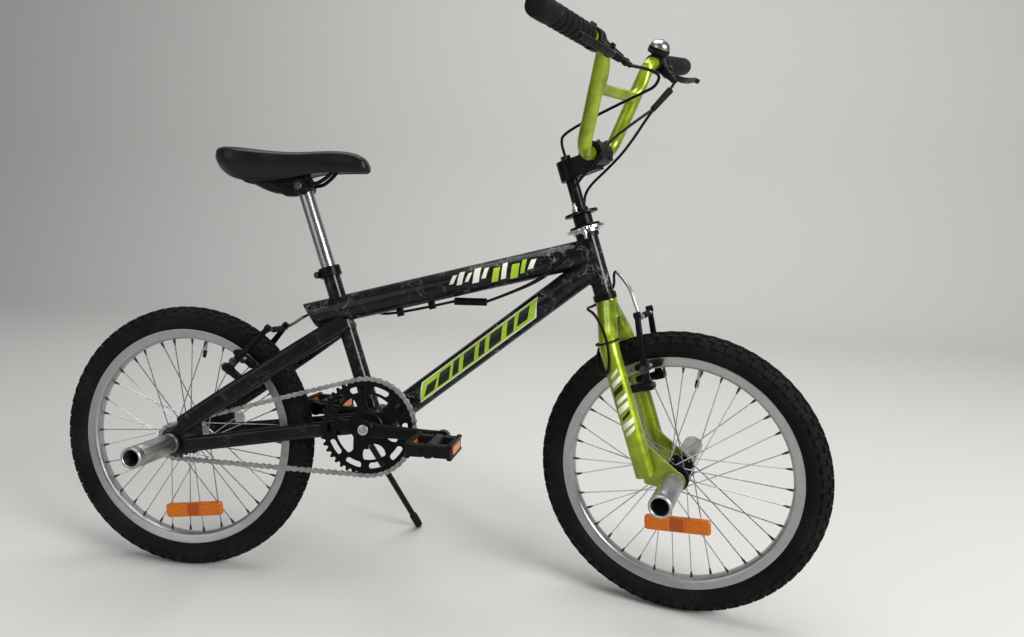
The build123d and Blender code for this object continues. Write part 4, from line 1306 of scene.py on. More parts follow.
@dataclass
class Seat:
    """The padded saddle with its tray, rails, post and clamps."""

    # Stations along the saddle: x, half width, top, shoulder, skirt's lower edge
    STATIONS = (
        (64, 22, 796, 790, 785), (69, 36, 803, 793, 780), (77, 52, 807.5, 795, 772),
        (90, 66, 810, 796, 763), (106, 74, 809.5, 795, 754), (135, 73, 808, 793, 747),
        (165, 63, 805.5, 792, 748), (195, 48, 804.5, 792, 753), (225, 36, 805.5, 793, 760),
        (255, 27.5, 808, 795, 766.5), (285, 23, 809.5, 796, 769), (315, 20.5, 808, 793, 770),
        (335, 18.5, 802.5, 788, 770.5), (346, 14.5, 794, 782.5, 771), (352, 7.5, 783.5, 778, 773.5),
    )
    # Tray under the pad: x, half width, top, bottom
    TRAY = ((72, 20, 786, 776), (92, 34, 782, 764), (117, 36, 780, 750.5),
            (147, 32, 780, 737.5), (170, 27, 780, 730), (192, 22, 780, 727.5),
            (208, 19, 780, 722), (222, 16, 780, 726), (234, 12, 780, 745))
    # Line of the left rail: x, y, z
    RAIL = ((96, 25, 768), (122, 22, 750), (160, 21, 746), (214, 21, 746), (240, 18, 746), (256, 15, 748.5),
            (270, 12, 757), (281, 10, 767), (290, 9, 778))
    # Point of each section's ring where the top cover meets the side panel
    SEAM = 35

    rail_r: float = 3.5
    post_r: float = 13.5
    clamp_along: float = 461.0
    clamp_half: float = 25.0

    @property
    def clamp_spot(self) -> Array:
        """Middle of the rails' clamp, on the post's line."""
        return LAYOUT.bracket + LAYOUT.seat_way * self.clamp_along

    def ring(self, where: Array) -> Array:
        """Closed sections of the pad: a crowned top, rounded shoulders, a tucked skirt and a hollow foot.

        Args:
            where: Positions along the saddle.

        Returns:
            Rings of points: over the top y = w |c|^0.62, z = shoulder + rise |s|^0.8 by the angle's
            cosine and sine, then down the skirt drawing in, and back under the foot.
        """
        table = np.array(self.STATIONS)
        columns = hermite(table[:, 0], table[:, 1:], where).T
        half, top, shoulder, foot = (column[:, None] for column in columns)
        turn = np.linspace(0, math.pi, 33)[None]
        c, s = np.cos(turn), np.sin(turn)
        dish = 2.2 * np.exp(-((c / 0.35) ** 2)) * np.clip(half / 76, 0, 1)
        over_y = half * np.sign(c) * np.abs(c) ** 0.62
        over_z = shoulder + (top - shoulder) * s**0.8 - dish
        fall = np.linspace(0, 1, 10)[None, 1:]
        side_y = half * (1 + 0.02 * np.sin(fall * math.pi) - 0.30 * fall**2.2)
        side_z = shoulder + (foot - shoulder) * fall
        under = np.linspace(1, -1, 7)[None, 1:-1]
        under_y = -half * 0.62 * under
        under_z = foot + 3.0 + 0 * under
        y = np.concatenate([over_y, -side_y, under_y, side_y[:, ::-1]], 1)
        z = np.concatenate([over_z, side_z, under_z, side_z[:, ::-1]], 1)
        x = np.broadcast_to(np.asarray(where)[:, None], y.shape)
        return np.stack([x, y, z], -1)

    def pad(self) -> Surface:
        """The pad: its sections lofted along the saddle, closer together at the rounded ends."""
        share = (1 - np.cos(np.linspace(0, math.pi, 64))) / 2
        rear, nose = self.STATIONS[0][0], self.STATIONS[-1][0]
        return loft(self.ring(rear + (nose - rear) * share))

    def piping(self) -> Surface:
        """The sewn seam where the top cover meets the side panel, as a thin roll on both sides."""
        edge = self.ring(np.linspace(72, 346, 70))[:, self.SEAM]
        return sweep(edge + ACROSS * np.sign(edge[:, 1:2]) * 0.2, 1.1, UPWARD, 8).with_twin()

    def tray(self) -> Surface:
        """The tray under the pad: a squarish section carried along its middle line."""
        x, half, top, low = np.array(self.TRAY).T
        spine = np.stack([x, 0 * x, (top + low) / 2], -1)
        sizes = np.stack([(top - low) / 2, half], -1)
        return sweep(flow(spine, 40), flow(sizes, 40), UPWARD, 24, 3.0)

    def rails(self) -> Surface:
        """Both rails, and the clamp that holds them, turned about its bolt."""
        line = flow([vec(*row) for row in self.RAIL], 48)
        end = self.clamp_half
        half = [(5, 0), (17, 0), (17, 6), (14.2, 8), (14.2, end - 2), (13, end), (5, end)]
        clamp = revolve(both_sides(half), self.clamp_spot, ACROSS, 40, closed=True)
        return Surface.joined([sweep(line, self.rail_r, ACROSS, 14).with_twin(), clamp])

    def marks(self) -> Surface:
        """Rungs of the height scale on the post's right side."""
        post = Tube(LAYOUT.bracket, LAYOUT.seat_way, self.post_r)
        high_deg, wide = 26, 1.6
        rungs = [post.patch([(at, 0), (at + wide, 0), (at + wide, high_deg), (at, high_deg)], 0.12)
                 for at in range(318, 354, 5)]
        return Surface.joined(rungs)

    def bolts(self) -> Surface:
        """The rail clamp's two nuts, and the seat clamp's bolt and nut behind the tube."""
        parts = [bolt(self.clamp_spot + ACROSS * side * self.clamp_half, ACROSS * side, 8.0, 5.0, False)
                 for side in (-1, 1)]
        spot = LAYOUT.seat_top - LAYOUT.seat_way * 9 - vec(21, 0, 7)
        parts.append(bolt(spot - ACROSS * 12, -ACROSS, 5.0, 4.5))
        parts.append(bolt(spot + ACROSS * 12, ACROSS, 5.5, 4.0, False))
        return Surface.joined(parts)

    def build(self) -> None:
        """Make the saddle and dress the post and clamps."""
        pad = FRAME.add("saddle_pad", self.pad(), VINYL, ["saddle"], 60)
        FRAME.add("saddle_piping", self.piping(), VINYL)
        FRAME.add("saddle_tray", self.tray(), PLASTIC)
        FRAME.add("rail_clamp_set", self.rails(), BLACK_METAL, ["saddle_rails"])
        soften("seat_clamp", "seat_collar", Body.FRAME, BLACK_METAL, 0.8)
        dress(POST_STEEL, "seat_post")
        FRAME.add("post_marks", self.marks(), DARK_STEEL)
        FRAME.add("seat_bolts", self.bolts(), DARK_STEEL)


# Drive


@dataclass
class Drive:
    """Chain, chainring, sprocket, crank and pedals."""

    ring_r: float = 89.02
    cog_r: float = 32.55
    ring_teeth: int = 44
    cog_teeth: int = 16
    links: int = 90
    chain_y: float = -49.0
    arm_y: tuple[float, float] = (58.0, 72.0)
    pedal_y: tuple[float, float] = (88.0, 173.0)
    pedal_teeth: int = 9
    crank_deg: float = -2.0
    crank_len: float = 145.0

    def chain_points(self) -> Array:
        """The pins' places: equal steps round two straight runs and two arcs about ring and sprocket.

        Returns:
            Points in order, from the sprocket's top over the ring and back underneath.
        """
        reach = LAYOUT.bracket - LAYOUT.rear
        far = np.linalg.norm(reach)
        tilt = math.atan2(reach[2], reach[0])
        wrap = math.acos(-(self.ring_r - self.cog_r) / far)
        run = math.sqrt(far**2 - (self.ring_r - self.cog_r) ** 2)
        ends = np.cumsum([run, 2 * wrap * self.ring_r, run, (2 * math.pi - 2 * wrap) * self.cog_r])
        s = np.arange(self.links) * ends[-1] / self.links
        top, low = tilt + wrap, tilt - wrap

        def on(centre: Array, radius: float, angle: Array) -> Array:
            """Points on a circle in side view."""
            angle = np.broadcast_to(angle, s.shape)
            return centre + radius * np.stack([np.cos(angle), 0 * angle, np.sin(angle)], -1)

        share = (s / run)[:, None]
        upper = on(LAYOUT.rear, self.cog_r, top) * (1 - share)
        upper += on(LAYOUT.bracket, self.ring_r, top) * share
        over = on(LAYOUT.bracket, self.ring_r, top - (s - ends[0]) / self.ring_r)
        back = ((s - ends[1]) / run)[:, None]
        lower = on(LAYOUT.bracket, self.ring_r, low) * (1 - back)
        lower += on(LAYOUT.rear, self.cog_r, low) * back
        under = on(LAYOUT.rear, self.cog_r, low - (s - ends[2]) / self.cog_r)
        leg = np.searchsorted(ends, s, side="right")[:, None]
        pins = np.select([leg == 0, leg == 1, leg == 2], [upper, over, lower], under)
        return pins + ACROSS * self.chain_y

    def chain(self) -> Surface:
        """Every link: two waisted plates, outer and inner by turns, with rollers and pins."""
        pins = self.chain_points()
        step = np.roll(pins, -1, 0) - pins
        pitch = np.linalg.norm(step, axis=1).mean()
        along = unit(step)
        turns = np.stack([along, np.broadcast_to(ACROSS, along.shape), np.cross(along, ACROSS)], -1)
        turn = np.radians(np.linspace(-112, 112, 11))
        lobe = np.stack([pitch / 2 + 4.5 * np.cos(turn), 4.5 * np.sin(turn)], -1)
        outline = np.concatenate([lobe, [(0.0, 2.5)], -lobe, [(0.0, -2.5)]])
        middle = vec(pitch / 2, 0, 0)
        parts = []
        for first, offset in ((0, 3.25), (1, 2.1)):
            plate = slab(outline, middle + ACROSS * offset, FORWARD, UPWARD, 1.0, 0.2)
            parts.append(plate.with_twin().copies(turns[first::2], pins[first::2]))
        roller = revolve([(3.85, -1.55), (3.85, 1.55)], vec(0, 0, 0), ACROSS, 10)
        pin = revolve([(1.8, -4.1), (1.8, 4.1)], vec(0, 0, 0), ACROSS, 8)
        parts.append(Surface.joined([roller, pin]).copies(turns, pins))
        return Surface.joined(parts)

    def teeth(self, centre: Array, inner: float, pitch_r: float, count: int) -> Surface:
        """A toothed ring: its outer radius follows tanh(1.6 cos) of the phase, thinner at the tips."""
        half, root = 1.45, pitch_r - 5
        turn = np.linspace(0, 2 * math.pi, count * 12, endpoint=False)
        wave = np.tanh(1.6 * np.cos(turn * count)) / np.tanh(1.6)
        outer = pitch_r - 1.4 + 3.4 * wave
        thin = half - 0.25 * (wave + 1)
        level = np.ones_like(turn)
        out = np.stack([np.cos(turn), 0 * turn, np.sin(turn)], -1)[:, None]
        radius = np.stack([inner * level, inner * level, root * level, outer, outer, root * level], -1)
        height = np.stack([-half * level, half * level, half * level, thin, -thin, -half * level], -1)
        middle = centre + ACROSS * self.chain_y
        return loft(middle + out * radius[..., None] + ACROSS * height[..., None], closed=True)

    def ring_plate(self) -> Surface:
        """The chainring: hub, five waisted arms with bolts, a middle band, ten short bars and the rim."""
        face = LAYOUT.bracket + ACROSS * self.chain_y
        parts = []
        for low, high, half in ((11.0, 32.0, 1.5), (60.5, 65.5, 1.4), (76.5, 84.0, 1.5)):
            section = [(low, -half), (high, -half), (high, half), (low, half)]
            parts.append(revolve(section, face, ACROSS, 96, closed=True))
        edges = (np.array(((27, 16), (35, 11), (43, 9), (51, 10.5), (57, 14), (62, 21)), float),
                 np.array(((63, 12), (68, 7.5), (73, 7.5), (78, 12)), float))
        arm, bar = (np.concatenate([edge, edge[::-1] * (1, -1)]) for edge in edges)
        for count, start, outline, thick in ((5, 36, arm, 2.6), (10, 18, bar, 2.4)):
            for index in range(count):
                turn = math.radians(self.crank_deg + start + index * 360 / count)
                way = vec(math.cos(turn), 0, math.sin(turn))
                parts.append(slab(outline, face, way, np.cross(way, ACROSS), thick, 0.3))
                if outline is arm:
                    parts.append(bolt(face + way * 60 - ACROSS * 1.2, -ACROSS, 4.4, 2.2))
        hub = [(22.0, -1.0), (30.0, -1.0), (31.0, -2.9), (29.0, -4.7), (22.5, -4.7)]
        return Surface.joined([*parts, revolve(hub, face, ACROSS, 64, closed=True)])

    def crank_way(self, side: int) -> Array:
        """Direction from the spindle to the pedal on one side."""
        turn = math.radians(self.crank_deg)
        return vec(math.cos(turn), 0, math.sin(turn)) * -side

    def pedal_spot(self, side: int) -> Array:
        """Middle of a pedal's pin, on the bicycle's middle plane."""
        return LAYOUT.bracket + self.crank_way(side) * self.crank_len

    def pedal_middle(self, side: int) -> Array:
        """Middle of a pedal's body."""
        low, high = self.pedal_y
        return self.pedal_spot(side) + ACROSS * side * (low + high) / 2

    def arm(self, side: int) -> Surface:
        """One crank arm: a squarish section carried from the spindle to the pedal, with round bosses."""
        low, high = self.arm_y
        middle = LAYOUT.bracket + ACROSS * side * (low + high) / 2
        share = np.linspace(0, 1, 14)[:, None]
        path = middle + self.crank_way(side) * self.crank_len * share
        sizes = np.concatenate([6.8 - 0.8 * share, 16.0 - 9.0 * share**0.7 + 4.5 * share**3], 1)
        axis = ACROSS * side
        boss = [(9, low - 2), (17.6, low - 1.5), (18.2, low), (18.2, high - 1), (17.0, high + 0.2),
                (9, high + 0.2)]
        eye = [(5, low - 0.6), (12.4, low - 0.4), (13.2, low + 0.8), (13.2, high - 1), (12.2, high),
               (5, high)]
        return Surface.joined([sweep(path, sizes, ACROSS, 20, 3.4), revolve(boss, LAYOUT.bracket, axis, 36),
                               revolve(eye, self.pedal_spot(side), axis, 32)])

    def pedal(self, side: int) -> Surface:
        """A platform pedal: a barrel, four toothed rails and the webs that join them."""
        low, high = self.pedal_y
        long = high - low
        middle = self.pedal_middle(side)
        barrel = [(7, low), (11, low + 0.4), (12, low + 2), (11, low + 20), (11, high - 20), (12, high - 2),
                  (10.6, high), (7, high)]
        parts = [revolve(barrel, self.pedal_spot(side), ACROSS * side, 28)]
        tooth = block(vec(0, 0, 0), (6.6, 4.4, 2.6), FORWARD, ACROSS, 0.8, 0.7)
        steps = ACROSS * np.linspace(-long / 2 + 6, long / 2 - 6, self.pedal_teeth)[:, None]
        unturned = np.broadcast_to(np.eye(3), (self.pedal_teeth, 3, 3))
        for ahead in (-1, 1):
            for rise in (-1, 1):
                rail = middle + FORWARD * ahead * 35.5 + UPWARD * rise * 10.4
                parts.append(block(rail, (8.6, long, 4.6), FORWARD, ACROSS, 2.4, 1.0))
                parts.append(tooth.copies(unturned, rail + UPWARD * rise * 2.4 + steps))
            for along in (-long / 2 + 5, -long / 2 + 14, long / 2 - 14, long / 2 - 5):
                web = middle + FORWARD * ahead * 23 + ACROSS * along
                parts.append(block(web, (30, 21, 5.5), FORWARD, UPWARD, 3.0, 1.0))
        return Surface.joined(parts)

    def lenses(self, side: int) -> Surface:
        """The two reflectors in a pedal's front and back, between its rails."""
        size = (self.pedal_y[1] - self.pedal_y[0] - 34, 13.6, 4.6)
        spots = [self.pedal_middle(side) + FORWARD * ahead * 37.4 for ahead in (-1, 1)]
        return Surface.joined([block(spot, size, ACROSS, UPWARD, 1.5, 0.8) for spot in spots])

    def build(self) -> None:
        """Make the drive's pieces."""
        FRAME.add("chain_links", self.chain(), CHAIN_STEEL, ["chain"], 50)
        ring = [self.teeth(LAYOUT.bracket, 78.0, self.ring_r, self.ring_teeth), self.ring_plate()]
        CRANK.add("ring_plate", Surface.joined(ring), BLACK_METAL, ["chainring"])
        cog = self.teeth(LAYOUT.rear, 20.2, self.cog_r, self.cog_teeth)
        COG.add("cog_teeth", cog, DARK_STEEL, ["rear_sprocket"])
        spindle = revolve([(10.9, -57), (10.9, 57)], LAYOUT.bracket, ACROSS, 28)
        boss = [(11, -58), (21.5, -58), (22, -57), (22, -50.6), (11, -50.6)]
        spider = revolve(boss, LAYOUT.bracket, ACROSS, 36, closed=True)
        pin = [(5.9, 70), (5.9, 164)]
        pins = [revolve(pin, self.pedal_spot(side), ACROSS * side, 20) for side in (-1, 1)]
        arms = Surface.joined([self.arm(-1), self.arm(1), spindle, spider, *pins])
        CRANK.add("crank_arms", arms, BLACK_METAL, ["crank"])
        caps = [bolt(LAYOUT.bracket + ACROSS * side * 72.2, ACROSS * side, 9.5, 3.5) for side in (-1, 1)]
        CRANK.add("crank_bolts", Surface.joined(caps), STEEL)
        for name, side, body in (("right", -1, Body.PEDAL_RIGHT), ("left", 1, Body.PEDAL_LEFT)):
            carrier = Carrier(ON_FRAME, body)
            carrier.add(f"{name}_pedal_body", self.pedal(side), PLASTIC, [f"pedal_{name}"])
            carrier.add(f"{name}_pedal_lenses", self.lenses(side), AMBER, [f"pedal_{name}_reflectors"])


# Steering


@dataclass
class Cockpit:
    """Handlebar, grips, levers, bell, stem and the rotor that lets the bars spin."""

    bar_end: Array
    bar_top: Array
    bar_foot: Array
    cross_z: float = 910.0
    grip_len: float = 150.0
    ribs: int = 6
    ribs_len: float = 96.0
    bar_r: float = 12.2
    stem_top: float = 588.0

    @property
    def out(self) -> Array:
        """Direction out along the left grip."""
        return unit(self.bar_end - self.bar_top)

    @property
    def lever_way(self) -> Array:
        """Direction from the grip towards its lever, ahead and down."""
        return square_to(self.out, vec(0.8, 0, -0.6))[0]

    @property
    def rise(self) -> Array:
        """Direction square to the grip and the lever, upwards."""
        side = np.cross(self.out, self.lever_way)
        return side if side[2] > 0 else -side

    def on_grip(self, along: float, ahead: float = 0.0, up: float = 0.0) -> Array:
        """A point along the left grip's line from the bend, ahead of it and above it."""
        return self.bar_top + self.out * along + self.lever_way * ahead + self.rise * up

    @property
    def cable_exit(self) -> Array:
        """Where the cable leaves the left lever's barrel."""
        return self.on_grip(2, 57)

    def grip(self) -> Surface:
        """The left grip: a flange, broad ribs and a plain end, turned about the bar."""
        rows = [(self.bar_r, 0), (15.6, 0), (16.6, 1.5), (16.6, 8), (15.8, 9.5)]
        wide = self.ribs_len / self.ribs
        for at in 10 + wide * np.arange(self.ribs):
            rows += [(13.7, at), (13.7, at + 2.4), (16.0, at + 4), (16.9, at + wide / 2 + 1),
                     (16.0, at + wide - 1.2)]
        end = self.grip_len
        rows += [(14.2, 107), (14.2, 109), (16.3, 111), (16.9, 120), (16.9, end - 4), (16.0, end + 2),
                 (13.5, end + 3.5)]
        start = np.linalg.norm(self.bar_end - self.bar_top) - end
        return revolve([(radius, start + at) for radius, at in rows], self.bar_top, self.out, 40)

    def lever(self) -> Surface:
        """The left lever: clamp, tapered housing, hinge, blade with a curled tip and cable barrel."""
        clamp = revolve(collar(12.4, 17.4, 31, 49, 0.8), self.bar_top, self.out, 32)
        neck = [self.on_grip(*row) for row in ((43, 9), (36, 17), (26, 28), (14, 43))]
        thick = [(11.0, 10.0), (10.5, 10.5), (8.5, 8.5), (6.5, 6.0)]
        housing = sweep(flow(neck, 16), flow(thick, 16), self.rise, 18, 2.8)
        bends = ((30, 25), (38, 39), (54, 48), (95, 52), (140, 50), (158, 49), (167, 54))
        line = flow([self.on_grip(*row) for row in bends], 36)
        share = np.linspace(0, 1, len(line))
        sizes = np.stack([4.6 + 1.2 * np.sin(share * math.pi), 4.2 - 1.0 * share], -1)
        blade = sweep(line, sizes, self.rise, 16, 2.6)
        hinge = revolve([(3.2, -10), (5.2, -9), (5.2, 9), (3.2, 10)], self.on_grip(31, 28), self.rise, 20)
        tube = [(2.8, -3), (5.0, -2), (5.0, 7), (6.0, 8), (6.0, 14), (4.2, 15), (4.2, 21), (2.8, 21.5)]
        foot = self.on_grip(15, 41)
        barrel = revolve(tube, foot, unit(self.cable_exit - foot), 14)
        return Surface.joined([clamp, housing, blade, hinge, barrel])

    def bell(self) -> tuple[Surface, Surface]:
        """The bell's dome, a flattened half ball turned about its stalk, and its base with a thumb tab."""
        spot = self.on_grip(24)
        up, side = square_to(self.out, vec(0.42, 0, 1))
        turn = np.radians(np.linspace(0, 90, 14))
        dome = np.stack([18.8 * np.cos(turn) ** 0.75, 27.0 + 15.0 * np.sin(turn)], -1)
        button = [(3.2, 42.0), (3.0, 43.0), (1.2, 43.4)]
        dome = np.concatenate([[(17.0, 26.2), (18.8, 26.2)], dome[:-1], button])
        base = [(10.0, 11), (10.0, 14), (14, 15.5), (18.6, 17), (19.8, 19), (19.8, 27.4), (17, 27.4)]
        strap = revolve(collar(12.4, 16.5, 19, 29, 0.7), self.bar_top, self.out, 28)
        tab = block(spot + up * 20 - side * 6 - self.out * 22, (9, 12, 4), self.out, side, 2.5, 1.0)
        return revolve(dome, spot, up, 40), Surface.joined([revolve(base, spot, up, 36), strap, tab])

    def stem_bolts(self) -> Surface:
        """Four round bolts on the stem's cap and the hollow bolt's six-sided rim on top."""
        clamp = self.bar_foot * (1, 0, 1) - LAYOUT.on_head(0)
        t, f = clamp @ LAYOUT.up_axis, clamp @ LAYOUT.ahead
        parts = [bolt(LAYOUT.on_head(t + up, f + 15.5, side), LAYOUT.ahead, 4.6, 4.5)
                 for up in (-14.5, 14.5) for side in (-17, 17)]
        top = self.stem_top
        rim = [(3.2, top), (10.0, top), (10.0, top + 6.5), (8.8, top + 8), (3.2, top + 8)]
        return Surface.joined([*parts, self.about_head(rim, 6)])

    def about_head(self, rows: Profile, segments: int) -> Surface:
        """A ring turned about the steering axis, from its closed profile."""
        return revolve(rows, LAYOUT.on_head(0), LAYOUT.up_axis, segments, closed=True)

    def rotor_barrels(self, along: float, side: float, way: int, ahead: float = 0.0) -> Surface:
        """Cable ends screwed into a rotor plate's two ears: a stepped barrel with a lock ring on each.

        Args:
            along: Height of the plate's face on the steering axis.
            side: Distance of the ears from the axis.
            way: 1 for barrels that stand up, -1 for barrels that hang down.
            ahead: How far the ears lie ahead of the axis.

        Returns:
            Both barrels.
        """
        profile = [(2.7, 0), (4.0, 0.4), (4.0, 4.5), (5.2, 5), (5.2, 8), (3.4, 8.6), (3.4, 15), (2.7, 16)]
        return revolve(profile, LAYOUT.on_head(along, ahead, side), LAYOUT.up_axis * way, 14).with_twin()

    def build_controls(self) -> None:
        """Make grips, levers and bell."""
        BARS.add("grip_sleeves", self.grip().with_twin(), GRIP_RUBBER, ["grips"])
        BARS.add("lever_set", self.lever().with_twin(), PLASTIC, ["brake_levers"])
        nub = block(self.on_grip(44) + UPWARD * 19, (9, 9, 9), self.out, self.lever_way, 2.0, 1.0)
        pins = [bolt(self.on_grip(40, -16), -self.lever_way, 4.4, 5.0), nub,
                bolt(self.on_grip(31, 28, 10), self.rise, 4.2, 2.4)]
        BARS.add("lever_bolts", Surface.joined(pins).with_twin(), DARK_STEEL)
        dome, base = self.bell()
        BARS.add("bell_cap", dome, BELL_SILVER, ["bell_dome"], 50)
        BARS.add("bell_mount", base, PLASTIC, ["bell_base"])

    def build_stem(self) -> None:
        """Make the stem with its bolts and the collar under it."""
        soften("stem", "stem_body", Body.STEER, BLACK_METAL, 1.2)
        soften("stem_cap", "stem_face", Body.STEER, BLACK_METAL, 1.0)
        BARS.add("stem_bolts", self.stem_bolts(), DARK_STEEL)
        rows = [(11.3, 492.6), (14.0, 493.2), (14.4, 494), (14.4, 499.4), (13.6, 500.4), (11.3, 500.4)]
        FORK.add("stem_collar", self.about_head(rows, 36), BLACK_METAL)

    def build_rotor(self) -> None:
        """Make the rotor's plates, the race and shield between them and the cables' barrels."""
        soften("rotor_upper_plate", "rotor_top", Body.STEER, BLACK_METAL, 0.8)
        soften("rotor_lower_plate", "rotor_base", Body.FRAME, CHROME, 0.8)
        race = [(18.2, 454), (24.0, 454), (25.0, 455), (25.0, 463.6), (24.2, 464.4), (18.2, 464.4)]
        FRAME.add("rotor_race", self.about_head(race, 48), CHROME)
        shield = [(18.2, 464.6), (27.0, 464.6), (27.6, 465.4), (27.6, 468), (26.4, 468.8), (18.2, 468.8)]
        FRAME.add("rotor_shield", self.about_head(shield, 48), BLACK_METAL)
        FORK.add("rotor_top_barrels", self.rotor_barrels(493, 30, 1), STEEL)
        FRAME.add("rotor_base_barrels", self.rotor_barrels(459, 33, -1, -3), STEEL)

    def build_crossbar(self) -> None:
        """Make the crossbar's welds and the curved braces that run from it up the uprights."""
        upright = self.bar_top - self.bar_foot
        spot = self.bar_foot + upright * (self.cross_z - self.bar_foot[2]) / upright[2]
        cross = Tube(spot * (1, 0, 1), ACROSS, 9.5)
        weld = cross.bead(Tube(self.bar_foot, upright, self.bar_r), 2.2)
        BARS.add("bar_welds", weld.with_twin(), LIME)
        bends = ((0, -32, 0), (1, -14, 0), (7, -3, 8), (14, 4, 24), (17, 9, 42), (19, 13, 56))
        line = flow([spot + vec(*row) for row in bends], 28)
        BARS.add("bar_braces", sweep(line, 9.3, FORWARD, 18).with_twin(), LIME)

    def build(self) -> None:
        """Make the pieces above the fork."""
        dress(LIME, "handlebar")
        self.build_controls()
        self.build_stem()
        self.build_rotor()
        self.build_crossbar()


@dataclass
class Fork:
    """Fork legs with their crown, stripes and cable tie."""

    leg_y: float = 60.0
    leg_r: float = 17.0

    # Slashes down each leg: start along the leg, length, low angle, high angle, pale or dark
    SLASHES = ((96, 7, -30, 34, True), (108, 9, -38, 40, True), (124, 6, -24, 30, False),
               (136, 10, -40, 36, True), (153, 7, -30, 42, True), (167, 9, -38, 30, False),
               (183, 8, -30, 36, True), (198, 6, -22, 26, True))

    def build(self) -> None:
        """Dress the fork and add its stripes and the tie round the right leg and its cable."""
        dress(LIME, "fork_legs", "fork_crown")
        leg = Tube(LAYOUT.on_head(0, 0, -self.leg_y), LAYOUT.up_axis, self.leg_r)
        pale, dark = [], []
        for start, length, low, high, bright in self.SLASHES:
            corners = [(start, low), (start + length, low), (start + length + 12, high), (start + 12, high)]
            (pale if bright else dark).append(leg.patch(corners, 0.3))
        FORK.add("fork_pale_stripes", Surface.joined(pale).with_twin(), STRIPE_PALE)
        FORK.add("fork_dark_stripes", Surface.joined(dark).with_twin(), STRIPE_DARK)
        turn = np.linspace(0, 2 * math.pi, 40, endpoint=False)[:, None]
        round_leg = LAYOUT.ahead * 20.5 * np.cos(turn) - ACROSS * 25.0 * np.sin(turn)
        section = np.broadcast_to((1.9, 0.7), (len(turn), 2))
        strap = sweep(LAYOUT.on_head(262, 1, -63) + round_leg, section, LAYOUT.up_axis, 8, 4.0, True)
        FORK.add("cable_tie", strap, PLASTIC)


# Brakes


